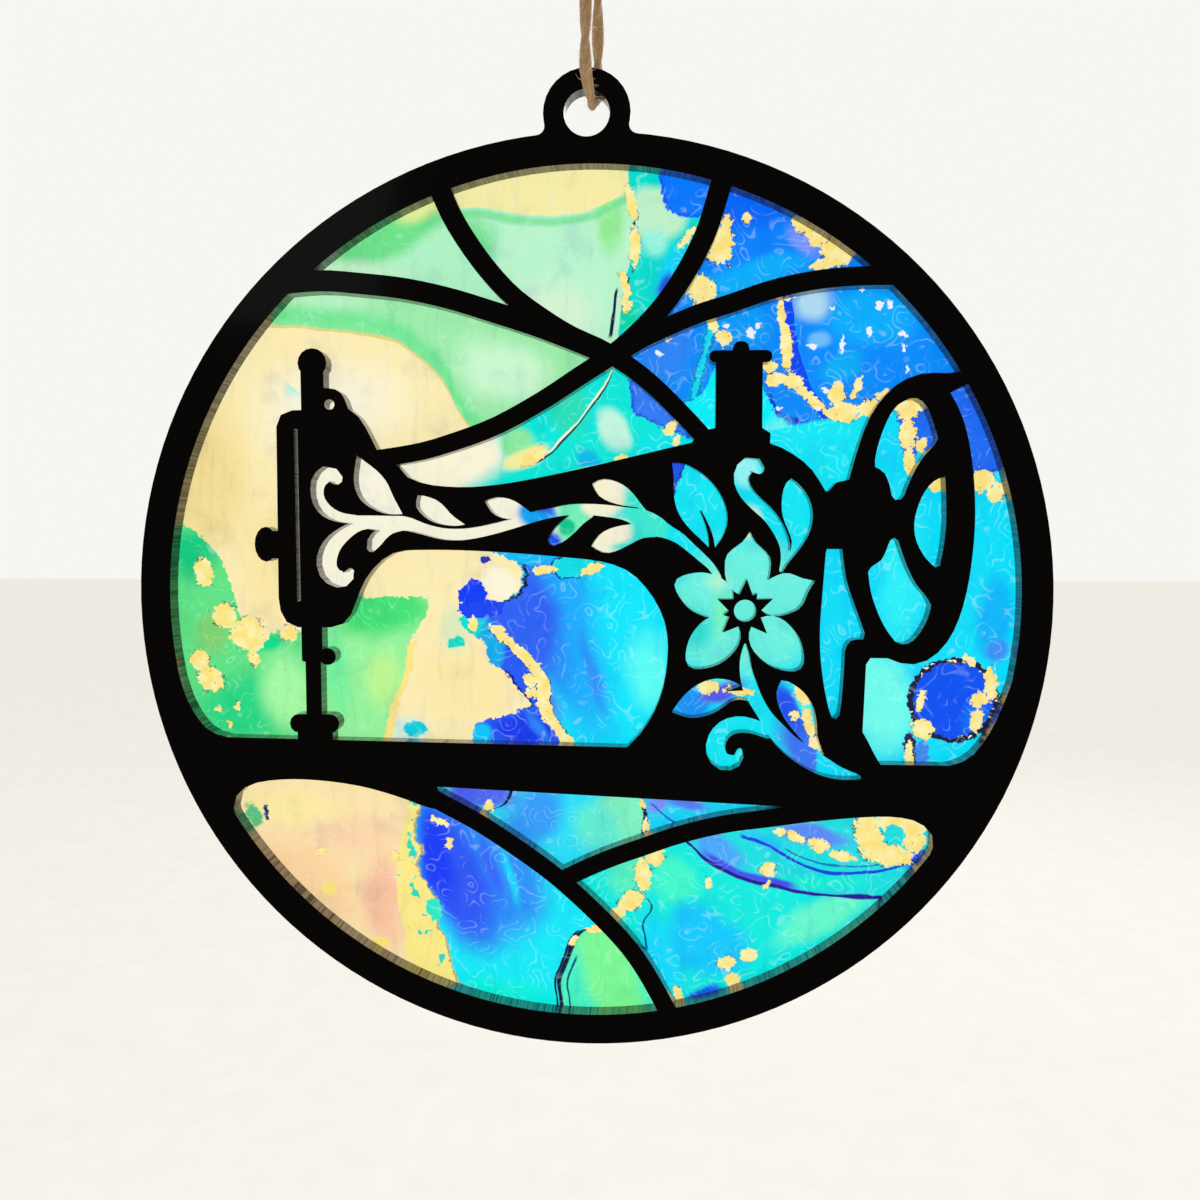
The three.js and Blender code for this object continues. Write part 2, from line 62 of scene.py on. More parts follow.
eye = looked_at + standing_off * Vector((
    math.sin(to_the_right) * math.cos(from_above),
    -math.cos(to_the_right) * math.cos(from_above),
    math.sin(from_above),
))
lens = bpy.data.cameras.new("photo_lens")
lens.lens = 32
lens.sensor_width = 36
lens.clip_start = 0.005
camera = bpy.data.objects.new("photo_camera", lens)
camera.location = eye
camera.rotation_euler = (looked_at - eye).to_track_quat("-Z", "Y").to_euler()
bpy.context.collection.objects.link(camera)
bpy.context.scene.camera = camera
bpy.context.scene.view_settings.view_transform = "Standard"


# The twine is natural jute, two strands laid round each other. It comes up from its knot behind the
# tab, over the hook, down in front of the tab and back through the hole.
def ink(red, green, blue):
    """A colour given as on a screen, in the linear values a shader takes."""
    linear = []
    for value in (red, green, blue):
        share = value / 255
        linear.append(share / 12.92 if share <= 0.04045 else ((share + 0.055) / 1.055) ** 2.4)
    return (*linear, 1)


class Wire:
    """One socket of a shader. Python's own signs on it add the nodes that work it out."""

    def __init__(self, tree, socket=None):
        self.tree = tree
        self.socket = socket

    def node(self, kind, settings=None, values=None, out=0):
        """Any node: its settings come first, then the values or links of its sockets."""
        made = self.tree.nodes.new(kind)
        for name, value in (settings or {}).items():
            if name == "stops":
                ramp = made.color_ramp.elements
                while len(ramp) < len(value):
                    ramp.new(0.5)
                for element, (position, colour) in zip(ramp, value):
                    element.position = position
                    element.color = colour
            elif name == "line":
                for place in value[1:-1]:
                    made.mapping.curves[0].points.new(*place)
                made.mapping.curves[0].points[0].location = value[0]
                made.mapping.curves[0].points[-1].location = value[-1]
                made.mapping.update()
            elif name == "laid":
                for part, amount in value.items():
                    setattr(made.texture_mapping, part, amount)
            else:
                setattr(made, name, value)
        for name, value in (values or {}).items():
            if isinstance(value, Wire):
                self.tree.links.new(value.socket, made.inputs[name])
            else:
                made.inputs[name].default_value = value
        return Wire(self.tree, made.outputs[out])

    def maths(self, operation, *values):
        return self.node("ShaderNodeMath", {"operation": operation}, dict(enumerate(values)))

    def __add__(self, other):
        return self.maths("ADD", self, other)

    __radd__ = __add__

    def __sub__(self, other):
        return self.maths("SUBTRACT", self, other)

    def __rsub__(self, other):
        return self.maths("SUBTRACT", other, self)

    def __mul__(self, other):
        return self.maths("MULTIPLY", self, other)

    __rmul__ = __mul__

    def __truediv__(self, other):
        return self.maths("DIVIDE", self, other)

    def __rtruediv__(self, other):
        return self.maths("DIVIDE", other, self)

    def __abs__(self):
        return self.maths("ABSOLUTE", self)

    def __or__(self, other):
        return self.maths("MAXIMUM", self, other)

    def __and__(self, other):
        return self.maths("MINIMUM", self, other)

    def rising(self, low, high):
        """0 below low, 1 above high and smooth between. With high under low it falls instead."""
        values = {"Value": self, "From Min": min(low, high), "From Max": max(low, high)}
        if high < low:
            values.update({"To Min": 1.0, "To Max": 0.0})
        return self.node("ShaderNodeMapRange", {"interpolation_type": "SMOOTHSTEP"}, values)

    def colour(self, under, over):
        """Over where this is 1 and under where it is 0, as colours."""
        return self.node("ShaderNodeMix", {"data_type": "RGBA"}, {0: self, 6: under, 7: over}, out=2)

    def noise(self, scale, detail=2.0, roughness=0.5, out=0):
        """Cloudy noise at this place."""
        values = {"Vector": self, "Scale": scale, "Detail": detail, "Roughness": roughness}
        return self.node("ShaderNodeTexNoise", {}, values, out=out)

    def vectors(self, operation, *values, out=0):
        made = {0: self, **{place + 1: value for place, value in enumerate(values)}}
        return self.node("ShaderNodeVectorMath", {"operation": operation}, made, out=out)


def new_finish(name):
    """A new material, a Wire to build its nodes from, and its shader."""
    material = bpy.data.materials.new(name)
    material.use_nodes = True
    return material, Wire(material.node_tree), material.node_tree.nodes["Principled BSDF"]


def feed(wire, shader, name):
    wire.tree.links.new(wire.socket, shader.inputs[name])


def mesh_piece(name, points, faces, material, uvs=None):
    """A smooth mesh in its place, riding on the suncatcher."""
    mesh = bpy.data.meshes.new(name)
    mesh.from_pydata(points, [], faces)
    mesh.materials.append(material)
    mesh.polygons.foreach_set("use_smooth", [True] * len(mesh.polygons))
    if uvs:
        layer = mesh.uv_layers.new(name="lay")
        for loop, uv in zip(layer.data, uvs):
            loop.uv = uv
    piece = bpy.data.objects.new(name, mesh)
    bpy.context.collection.objects.link(piece)
    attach(piece, "root")
    return piece


twine_width = 1.9 * MM
strand_reach = 0.36 * MM
strand_radius = 0.62 * MM
lay_length = 19 * MM
twine_bend = 3.8 * MM
twine_drift = 1.5 * MM
crown_z = -2.85 * MM
bight_z = -36.115 * MM
knot_centre = Vector((twine_drift, twine_bend, -15.85 * MM))
knot_end = Vector((0, 0, 2.6 * MM))


def smooth_line(stops, pace):
    """Points about a pace apart on a smooth line through the stops."""
    ends = [stops[0] * 2 - stops[1], *stops, stops[-1] * 2 - stops[-2]]
    line = []
    for four in zip(ends, ends[1:], ends[2:], ends[3:]):
        knots = [0.0]
        for one, other in zip(four, four[1:]):
            knots.append(knots[-1] + math.sqrt((other - one).length))
        count = max(2, round((four[2] - four[1]).length / pace))
        for step in range(count):
            at = knots[1] + (knots[2] - knots[1]) * step / count
            row = four
            for level in (1, 2):
                row = [
                    row[i].lerp(row[i + 1], (at - knots[i]) / (knots[i + level] - knots[i]))
                    for i in range(len(row) - 1)
                ]
            line.append(row[0].lerp(row[1], step / count))
    return [*line, stops[-1]]


def frames_along(line):
    """At each point of a line, two square directions across it that don't spin."""
    across = Vector((1, 0, 0))
    frames = []
    for before, after in zip([line[0], *line[:-1]], [*line[1:], line[-1]]):
        along = (after - before).normalized()
        across = (across - along * across.dot(along)).normalized()
        frames.append((across, along.cross(across)))
    return frames


def strands(line, sides, reach, radius, twist, start=0.0):
    """The two strands of a twine along a line: points, faces and how far along and round each lies."""
    points = []
    faces = []
    uvs = []
    frames = frames_along(line)
    for strand in (0, 1):
        first = len(points)
        gone = start
        for place, (here, (across, other)) in enumerate(zip(line, frames)):
            if place:
                gone += (here - line[place - 1]).length
            turn = 2 * math.pi * gone / twist + strand * math.pi
            middle = here + (across * math.cos(turn) + other * math.sin(turn)) * reach
            for side in range(sides):
                angle = 2 * math.pi * side / sides + turn
                ribs = 0.05 * math.sin(angle * 5 - turn * 3) + 0.03 * math.sin(gone * 9100 + side)
                out = across * math.cos(angle) + other * math.sin(angle)
                points.append(middle + out * radius * (1 + ribs))
        for ring in range(len(line) - 1):
            for side in range(sides):
                corners = [(ring, side), (ring, side + 1), (ring + 1, side + 1), (ring + 1, side)]
                faces.append([first + r * sides + s % sides for r, s in corners])
                uvs.extend((s / sides + strand * 0.37, r / len(line) * 40) for r, s in corners)
        for ring, order in ((0, -1), (len(line) - 1, 1)):
            end = [first + ring * sides + side for side in range(sides)][::order]
            faces.append(end)
            uvs.extend((0.5, 0.5) for _ in end)
    return points, faces, uvs


jute, start, shader = new_finish("jute")
lay = start.node("ShaderNodeUVMap", {"uv_map": "lay"})
lengths = lay.vectors("MULTIPLY", (30.0, 1.1, 0.0)).noise(1.0, 5.0, 0.65)
fine = lay.vectors("MULTIPLY", (70.0, 3.0, 0.0)).noise(1.0, 3.0, 0.6)
place = start.node("ShaderNodeTexCoord", out=3)
cloud = place.noise(420.0, 2.0)
shade = (lengths * 0.75 + fine * 0.45 + cloud * 0.3 - 0.25).rising(0.15, 0.85)
straw = shade.colour(ink(158, 116, 76), ink(228, 192, 146))
straw = fine.rising(0.58, 0.78).colour(straw, ink(248, 228, 194))
feed(straw, shader, "Base Color")
feed(0.82 + lengths * 0.15, shader, "Roughness")
ridges = {"Height": lengths * 0.6 + fine * 0.4, "Strength": 0.7, "Distance": 0.25 * MM}
feed(start.node("ShaderNodeBump", {}, ridges), shader, "Normal")
shader.inputs["Sheen Weight"].default_value = 0.6
shader.inputs["Sheen Roughness"].default_value = 0.4
shader.inputs["Sheen Tint"].default_value = (1.0, 0.93, 0.8, 1)
shader.inputs["Specular IOR Level"].default_value = 0.25
shader.inputs["Subsurface Weight"].default_value = 0.12
shader.inputs["Subsurface Radius"].default_value = (0.6, 0.4, 0.25)
shader.inputs["Subsurface Scale"].default_value = 0.0006

stops = [knot_centre + knot_end, Vector((twine_drift, twine_bend, crown_z - twine_bend))]
for turn in range(0, 181, 30):
    angle = math.radians(turn)
    stops.append(Vector((
        twine_drift * (1 - turn / 180),
        twine_bend * math.cos(angle),
        crown_z + twine_bend * math.sin(angle),
    )))
for part in (0.25, 0.5, 0.75):
    stops.append(Vector((0, -twine_bend, crown_z + (bight_z - crown_z) * part)))
for turn in range(180, 361, 30):
    angle = math.radians(turn)
    stops.append(Vector((
        twine_drift * (turn / 180 - 1),
        twine_bend * math.cos(angle),
        bight_z + twine_bend * math.sin(angle),
    )))
stops.append(Vector((twine_drift, twine_bend, bight_z + twine_bend)))
stops.append(knot_centre - knot_end)

twine_line = smooth_line(stops, 0.3 * MM)
twine_length = sum((after - before).length for before, after in zip(twine_line, twine_line[1:]))
points, faces, uvs = strands(twine_line, 16, strand_reach, strand_radius, lay_length)
twine = mesh_piece("jute_twine", points, faces, jute, uvs)
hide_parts("twine")


# The knot closes the loop: the two ends wrap each other in one tight overhand knot and stand out
# behind it, cut short.
wrap_radius = 1.42 * MM
wrap_rise = 1.75 * MM
wrap_turns = 1.75
tail_length = 6 * MM
tail_droop = math.radians(108)
tail_spread = math.atan2(2.2, 6)


def knot_end_line(side):
    """One end of the twine: in along the loop, round the other end, and out as its tail."""
    line = [knot_end * side * 1.02, knot_end * side * 0.62]
    for step in range(int(wrap_turns * 12) + 1):
        share = step / (wrap_turns * 12)
        angle = 2 * math.pi * wrap_turns * share + (math.pi if side > 0 else 0)
        height = side * wrap_rise * (0.55 - 1.1 * share)
        line.append(Vector((wrap_radius * math.cos(angle), wrap_radius * math.sin(angle), height)))
    out = Vector((
        side * math.sin(tail_spread) * -1,
        math.sin(tail_droop) * math.cos(tail_spread),
        math.cos(tail_droop) * math.cos(tail_spread),
    ))
    line.extend([out * tail_length * 0.62, out * tail_length * 0.97])
    return [knot_centre + point for point in line]


knot_points = []
knot_faces = []
knot_uvs = []
for side in (1, -1):
    end_line = smooth_line(knot_end_line(side), 0.25 * MM)
    points, faces, uvs = strands(end_line, 12, strand_reach * 0.9, strand_radius * 0.95, lay_length * 0.6)
    knot_faces.extend([corner + len(knot_points) for corner in face] for face in faces)
    knot_points.extend(points)
    knot_uvs.extend(uvs)
knot = mesh_piece("jute_knot", knot_points, knot_faces, jute, knot_uvs)
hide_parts("knot")


# Stray fibres stand out of the jute all along. They are given a painted glow, an even emission all over
# that stands for light from behind.
fibre_radius = 0.028 * MM
fibres_on_twine = 420
chance = random.Random(7)


def fibre(root, out, along, reach):
    """The line of one stray fibre, curling away from the twine."""
    curl = chance.uniform(-0.8, 0.8)
    lean = chance.uniform(-0.9, 0.9)
    side = out.cross(along)
    line = []
    for step in range(5):
        share = step / 4
        line.append(root + out * reach * share * (1 - 0.3 * share)
                    + along * reach * lean * share + side * reach * curl * share * share)
    return line


points = []
faces = []
frames = frames_along(twine_line)
for _ in range(fibres_on_twine):
    place = chance.randrange(4, len(twine_line) - 4)
    across, other = frames[place]
    angle = chance.uniform(0, 2 * math.pi)
    out = across * math.cos(angle) + other * math.sin(angle)
    along = across.cross(other)
    reach = chance.choice((0.5, 0.7, 0.9, 1.2, 1.9)) * chance.uniform(0.6, 1.1) * MM
    line = fibre(twine_line[place] + out * twine_width * 0.4, out, along, reach)
    first = len(points)
    for step, (here, (one, two)) in enumerate(zip(line, frames_along(line))):
        thin = fibre_radius * (1 - 0.6 * step / 4)
        for corner in range(3):
            turn = 2 * math.pi * corner / 3
            points.append(here + (one * math.cos(turn) + two * math.sin(turn)) * thin)
    for step in range(4):
        for corner in range(3):
            beside = (corner + 1) % 3
            low = first + step * 3
            faces.append([low + corner, low + beside, low + 3 + beside, low + 3 + corner])
    faces.append([first + 2, first + 1, first])
    faces.append([first + 12, first + 13, first + 14])

stray, start, shader = new_finish("stray_fibre")
place = start.node("ShaderNodeTexCoord", out=3)
bleach_and_glow = place.noise(900.0).rising(0.3, 0.7)
feed(bleach_and_glow.colour(ink(236, 214, 178), ink(255, 250, 238)), shader, "Base Color")
# Painted glow: the fibres give off light as emission, brighter where they are bleached, though they are no
# lamp.
feed(bleach_and_glow.colour(ink(120, 105, 84), ink(190, 180, 160)), shader, "Emission Color")
shader.inputs["Emission Strength"].default_value = 0.5
shader.inputs["Roughness"].default_value = 0.7
fuzz = mesh_piece("jute_fuzz", points, faces, stray)


# The black layer is cast acrylic, cut with a laser and polished on its faces. The cut walls are
# smooth and finely lined across, and mirror the print that is glued behind them. Apart from the disc's
# outer rim they are painted a lit grey with a mostly metallic finish, and painted lighter still where
# they face up, as lit from above.
black, start, shader = new_finish("black_acrylic")
place = start.node("ShaderNodeTexCoord", out=3)
facing = start.node("ShaderNodeTexCoord", out=1)
wall = abs(facing.node("ShaderNodeSeparateXYZ", {}, {0: facing}, out=1)).rising(0.75, 0.35)
spread = place.vectors("MULTIPLY", (1.0, 0.0, 1.0))
lines = spread.noise(2600.0, 1.0).rising(0.36, 0.6)
ticks = abs(spread.noise(420.0, 1.0) - 0.5).rising(0.008, 0.02)
# Painted highlight: walls that face up are painted lighter, as if lit from above.
upward = facing.node("ShaderNodeSeparateXYZ", {}, {0: facing}, out=2).rising(-0.2, 0.9)
smears = place.noise(55.0, 3.0)
height = start.node("ShaderNodeSeparateXYZ", {}, {0: place}, out=2)
inner = spread.vectors("ADD", (0.0, 0.0, 0.1199)).vectors("LENGTH", out=1).rising(0.0722, 0.0712)
# Painted light: all cut walls but the disc's outer rim get a lit grey, mostly metallic copy of the black
# acrylic.
painted_lit_walls = wall * (inner | height.rising(-0.048, -0.046))
# Painted sheen from the up-facing walls, mixed with the fine cut lines, kept off the ticks.
painted_sheen_and_lines = (upward * 0.5 + lines * 0.5) * ticks
feed(painted_lit_walls.colour(ink(9, 7, 6), painted_sheen_and_lines.colour(ink(70, 68, 68), ink(150, 148, 146))), shader, "Base Color")
feed(painted_lit_walls * 0.8, shader, "Metallic")
feed(smears * 0.06 + painted_lit_walls * (0.1 + lines * 0.08) + 0.05, shader, "Roughness")
grooves = {"Height": lines * wall, "Strength": 0.25, "Distance": 0.05 * MM}
feed(start.node("ShaderNodeBump", {}, grooves), shader, "Normal")
shader.inputs["Specular IOR Level"].default_value = 0.12


def by_angle(degrees):
    """A set of geometry nodes that shades smooth, apart from edges sharper than an angle."""
    group = bpy.data.node_groups.new("smooth_under_%d" % degrees, "GeometryNodeTree")
    group.interface.new_socket("Geometry", in_out="INPUT", socket_type="NodeSocketGeometry")
    group.interface.new_socket("Geometry", in_out="OUTPUT", socket_type="NodeSocketGeometry")
    come = group.nodes.new("NodeGroupInput")
    leave = group.nodes.new("NodeGroupOutput")
    smooth = group.nodes.new("GeometryNodeSetShadeSmooth")
    sharp = group.nodes.new("GeometryNodeSetShadeSmooth")
    sharp.domain = "EDGE"
    sharp.inputs["Shade Smooth"].default_value = False
    angle = group.nodes.new("GeometryNodeInputMeshEdgeAngle")
    over = group.nodes.new("FunctionNodeCompare")
    over.operation = "GREATER_THAN"
    over.inputs[1].default_value = math.radians(degrees)
    group.links.new(come.outputs[0], smooth.inputs["Geometry"])
    group.links.new(smooth.outputs[0], sharp.inputs["Geometry"])
    group.links.new(angle.outputs[0], over.inputs[0])
    group.links.new(over.outputs[0], sharp.inputs["Selection"])
    group.links.new(sharp.outputs[0], leave.inputs[0])
    return group


def polish(node, material, rim):
    """Gives a CAD node its finish, with the slightly broken edges that a cutter leaves."""
    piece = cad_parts[node]
    for slot in piece.material_slots:
        slot.material = material
    weld = piece.modifiers.new("weld", "WELD")
    weld.merge_threshold = 1e-6
    shading = piece.modifiers.new("shading", "NODES")
    shading.node_group = by_angle(32)
    edges = piece.modifiers.new("edges", "BEVEL")
    edges.width = rim
    edges.segments = 2
    edges.limit_method = "ANGLE"
    edges.angle_limit = math.radians(50)
    edges.harden_normals = True


polish("frame", black, 0.14 * MM)


# The panel behind is clear acrylic with a marbled picture printed on it, glued on all round. Light
# comes through it everywhere; here that glow is painted, the picture given off as emission, with
# flakes of gold and lines of dark ink on the colours.
# Places on the picture are in hundredths of the disc's radius, as they show on the black layer's front
# from a hand's length away. The panel lies behind it, so they are scaled and moved a little.
printed, start, shader = new_finish("printed_acrylic")
hundredth = 0.75 * MM
nearer = 0.983
moved_right = 0.26
moved_up = 0.29
disc_drop = 119.9 * MM
place = start.node("ShaderNodeTexCoord", out=3)
split = start.node("ShaderNodeSeparateXYZ", {}, {0: place})
across = split * (nearer / hundredth) + moved_right
upward = Wire(start.tree, split.socket.node.outputs[2])
up = (upward + disc_drop) * (nearer / hundredth) + moved_up
at = start.node("ShaderNodeCombineXYZ", {}, {0: across, 1: up})


def shaken(scale, detail, roughness, most):
    """The places on the print, moved about by noise."""
    push = at.noise(scale, detail, roughness, out=1)
    return at.vectors("ADD", push.vectors("MULTIPLY_ADD", (most, most, 0.0), (-most / 2, -most / 2, 0.0)))


loose = shaken(0.045, 2.0, 0.5, 9.0)
torn = shaken(0.75, 3.0, 0.6, 2.6)
easy = shaken(0.14, 2.0, 0.5, 1.2)


def parts_of(spot):
    """The two coordinates of a place on the print, each read off a straight ramp of light."""
    parts = []
    for turn in (0, -90):
        laid = {
            "translation": (0.5, 0.5, 0),
            "rotation": (0, 0, math.radians(turn)),
            "scale": (0.005, 0.005, 1),
        }
        ramp = spot.node("ShaderNodeTexGradient", {"laid": laid}, {0: spot}, out=1)
        part = ramp * 200 - 100
        part.ramp = ramp
        parts.append(part)
    return parts


x_torn, z_torn = parts_of(torn)
x_easy, z_easy = parts_of(easy)
uneven = easy.noise(0.14) * 2.2
broken = easy.noise(0.3)


def oval(spot, x, z, wide, high, turn=0):
    """1 in the middle of an oval and 0 at its rim and outside it."""
    laid = {
        "vector_type": "TEXTURE",
        "translation": (x, z, 0),
        "rotation": (0, 0, math.radians(turn)),
        "scale": (wide, high, 1),
    }
    settings = {"gradient_type": "SPHERICAL", "laid": laid}
    return spot.node("ShaderNodeTexGradient", settings, {0: spot}, out=1)


def washed(ground, washes):
    """Soft washes of colour laid over each other on a ground colour."""
    for colour, x, z, wide, high, turn, edge in washes:
        ground = oval(loose, x, z, wide, high, turn).rising(0.0, edge).colour(ground, colour)
    return ground


def drawn_line(along, stops):
    """How high a line through the given stops runs at each place along it."""
    line = [((one + 100) / 200, (other + 100) / 200) for one, other in stops]
    value = along.node("ShaderNodeFloatCurve", {"line": line}, {1: along.ramp})
    return value * 200 - 100


def shaded(ground, mask, tint):
    """A colour multiplied by a tint where a mask is 1."""
    values = {0: mask, 6: ground, 7: (*tint, 1)}
    return ground.node("ShaderNodeMix", {"data_type": "RGBA", "blend_type": "MULTIPLY"}, values, out=2)


def between(value, low, high, soft=0.6):
    """1 between two values and 0 outside them."""
    return value.rising(low - soft, low + soft) * value.rising(high + soft, high - soft)


def poured(ground, over, gap, rim=None, wide=0.5):
    """A colour poured where gap is above nothing, darker along its edge where the ink dried."""
    ground = gap.rising(-0.15, 0.2).colour(ground, over)
    if rim:
        ground = (between(gap, 0.1, wide, 0.25) * 0.8).colour(ground, rim)
    return ground


def ink_line(ground, gap, reach, wide, colour):
    """A thin line of ink where a gap is nothing, kept to where reach is 1 and uneven in width."""
    return ((abs(gap) / uneven).rising(wide, wide * 0.5) * reach).colour(ground, colour)


cream = ink(254, 238, 180)
ivory = ink(254, 248, 218)
mint = ink(176, 244, 198)
royal = ink(8, 70, 246)
dark = ink(18, 24, 66)

# The three windows over the arched bar.
top_left = washed(mint, [
    (ink(110, 228, 138), -44, 80, 26, 7, 22, 0.5),
    (ink(228, 240, 150), -34, 89, 13, 7, 20, 0.5),
    (ink(198, 244, 200), -54, 71, 20, 5, 5, 0.6),
])
top_middle = washed(ink(186, 246, 206), [
    (ink(112, 228, 142), -27, 74, 8, 14, -28, 0.6),
    (ink(216, 248, 214), -8, 62, 14, 12, 0, 0.7),
    (ink(150, 238, 150), 5, 80, 4, 9, 0, 0.7),
])
cream_above = z_easy - drawn_line(x_easy, [
    (-40, 80), (-27, 84.5), (-12, 83), (0, 83.5), (6, 86), (20, 94),
])
top_middle = poured(top_middle, ink(248, 238, 168), cream_above)
top_middle = (between(cream_above, -2.2, -0.5) * 0.8).colour(top_middle, ink(116, 228, 150))
beyond_stripe = x_easy - drawn_line(z_easy, [
    (50, 5), (58, 6.8), (68, 8), (74, 9.6), (80, 9.6), (86, 9), (94, 8.5),
])
right_colours = washed(ink(0, 226, 210), [
    (ink(190, 242, 200), 14, 82, 8, 7, 0, 0.4),
    (ink(0, 216, 170), 9, 62, 3.4, 5, 0, 0.6),
    (ink(150, 246, 224), 14, 76, 4, 4, 0, 0.7),
    (ink(0, 216, 250), 19, 71, 5, 8, -40, 0.6),
    (ink(40, 90, 236), 16, 68.6, 1.6, 3.4, -40, 0.7),
])
top_middle = poured(top_middle, right_colours, beyond_stripe)
corner = x_torn - drawn_line(z_torn, [(80, 18.4), (82.4, 19), (84, 17), (87, 16), (90, 15.5), (96, 14)])
top_middle = poured(top_middle, ink(0, 122, 255), corner & (z_torn - 82), royal)
top_right = washed(ink(0, 134, 255), [
    (ink(0, 104, 250), 34, 86, 14, 9, -15, 0.6),
    (ink(0, 176, 255), 34, 69, 18, 5, 14, 0.6),
    (ink(120, 150, 255), 45, 77, 3, 5, 30, 0.7),
])
left_of_bar = x_easy - drawn_line(z_easy, [
    (54.4, 3), (62, -11), (66.2, -16.5), (71.6, -21.5), (77, -25.5), (82.5, -28.9), (94, -34),
])
right_of_bar = x_easy - drawn_line(z_easy, [
    (53.2, 5.5), (62.8, 15.8), (68.5, 20), (75, 23.7), (80.3, 26), (94, 30),
])
top = left_of_bar.rising(-0.5, 0.5).colour(top_left, top_middle)
top = right_of_bar.rising(-0.5, 0.5).colour(top, top_right)

# The big window round the left of the machine: cream under a green hill, and greens at its foot.
middle = washed(cream, [
    (ink(246, 222, 148), -84, 26, 14, 24, 0, 0.7),
    (ivory, -56, 42, 22, 16, 0, 0.7),
    (ink(253, 232, 166), -72, 8, 9, 22, 0, 0.8),
])
hill = z_easy - drawn_line(x_easy, [
    (-80, 60.5), (-69, 60), (-60, 59.3), (-50, 58), (-42, 56.5), (-35, 51.5), (-31, 47.5),
    (-28, 41), (-24, 36),
])
above_hill = washed(ink(158, 238, 172), [
    (ink(204, 250, 208), -18, 50, 14, 9, -30, 0.7),
    (ink(182, 244, 192), -64, 66, 24, 4, 4, 0.6),
])
above_hill = (between(hill, 0.2, 4.5, 2.0) * 0.8).colour(above_hill, ink(104, 232, 144))
middle = poured(middle, above_hill, hill)
low_green = drawn_line(x_torn, [
    (-100, 20), (-90, 17), (-86, 14), (-82, 9.5), (-80, 5), (-78.6, 0.5), (-77, -5), (-75.6, -12.5),
    (-73, -11),
    (-71, -8), (-69, -7), (-66.5, -9), (-63, -5), (-50, -4),
]) - z_torn
greens = washed(ink(96, 228, 134), [
    (ink(36, 218, 134), -76, -24, 16, 10, 0, 0.7),
    (ink(20, 206, 130), -88, 10, 8, 8, 0, 0.7),
    (ink(166, 252, 164), -67, -20, 8, 12, 0, 0.7),
    (ink(130, 212, 116), -84, -7, 6, 7, 0, 0.7),
    (ink(0, 226, 140), -72, -10.6, 5, 2.6, 10, 0.6),
])
middle = poured(middle, greens, low_green)

# Under the arm: cream on the left, blue turning to cyan on the right, with gold along a seam.
under_arm = washed(ink(0, 234, 255), [
    (ink(20, 176, 255), -6, -4, 12, 36, 16, 0.6),
    (ink(44, 100, 246), -15, -2, 12, 22, 22, 0.55),
    (ink(40, 150, 252), 2, -16, 2.6, 14, 16, 0.9),
    (ink(70, 140, 250), -10, -20, 3, 9, 20, 0.8),
    (ink(90, 255, 248), 14, -16, 7, 12, 0, 0.7),
])
arm_shade = z_torn - drawn_line(x_torn, [(-20, 8.6), (-13, 8), (-8, 9), (10, 12)])
under_arm = poured(under_arm, ink(0, 190, 250), arm_shade)
patch = oval(torn, -3, 7.8, 6.4, 3.6, 8)
under_arm = patch.rising(0.2, 0.24).colour(under_arm, ink(10, 40, 150))
under_arm = patch.rising(0.28, 0.32).colour(under_arm, ink(0, 224, 232))
seam = x_torn - drawn_line(z_torn, [
    (-33, -4), (-30.5, -4.8), (-29, -6), (-27, -7.8), (-25, -8.8), (-22, -9.8), (-20, -9.6),
    (-17, -10.2),
    (-15, -11.6), (-12.5, -13.6), (-10.5, -15.6), (-8.5, -18.2), (-7, -19.6), (-5, -20), (-3, -21.6),
])
shore = washed(ink(34, 92, 248), [
    (ink(0, 226, 216), -27, -5, 6, 4, 0, 0.6),
    (ink(0, 176, 236), -21.6, -10, 3.4, 7, 10, 0.5),
    (ink(20, 60, 240), -14, -27, 9, 4, 0, 0.5),
    (ink(0, 200, 255), -24, -29, 3.4, 3.4, 0, 0.5),
    (ink(40, 130, 250), -11.4, -27, 1.6, 6, 20, 0.8),
])
under_arm = poured(under_arm, shore, (seam * -1) & (-2.5 - z_torn))
cream_left = drawn_line(z_torn, [
    (-33, -26), (-31, -25.6), (-28, -25), (-26.6, -23.4), (-26, -20.6), (-25, -17), (-23.8, -13.4),
    (-22.5, -12),
    (-21.5, -13.2), (-19, -15.4), (-16, -17.6), (-14.6, -19.4), (-13.8, -21.4), (-11, -22),
    (-8.5, -23.6),
    (-7, -26), (-4, -28.2), (-3, -27), (-1, -21.5), (0, -18.2), (2, -15.5), (5, -14.2),
    (7.5, -14.6), (9, -17),
    (10.5, -20.4), (12, -23),
]) - x_torn
creams = washed(cream, [
    (ivory, -18.6, 4, 5, 6, 0, 0.6),
    (ink(253, 234, 168), -28, -18, 16, 10, 0, 0.7),
    (ink(224, 236, 190), -30.5, -6, 4.6, 8, 0, 0.7),
    (ink(214, 240, 220), -40, -29.5, 6, 4, 0, 0.6),
])
creams = oval(torn, -29, -9.2, 2.6, 1.7, 10).rising(0.15, 0.35).colour(creams, ink(0, 218, 196))
creams = oval(torn, -38.4, -28.8, 3.4, 2.4).rising(0.15, 0.35).colour(creams, ink(0, 208, 222))
green_left = drawn_line(z_torn, [
    (-34, -46.6), (-29, -45), (-23, -43.6), (-18, -41.2), (-14, -40.4), (-9.5, -39.6), (-6, -37.2),
    (-3, -35.6),
    (3, -35),
]) - x_torn
greens = washed(ink(150, 246, 156), [
    (ink(66, 228, 120), -46, -2, 14, 8, 0, 0.6),
    (ink(190, 248, 146), -45, -18, 6, 10, 0, 0.7),
    (ink(120, 246, 160), -56, -14, 5, 14, 0, 0.7),
])
creams = poured(creams, ink(254, 232, 138), (green_left + 1.7) & (-9 - z_torn))
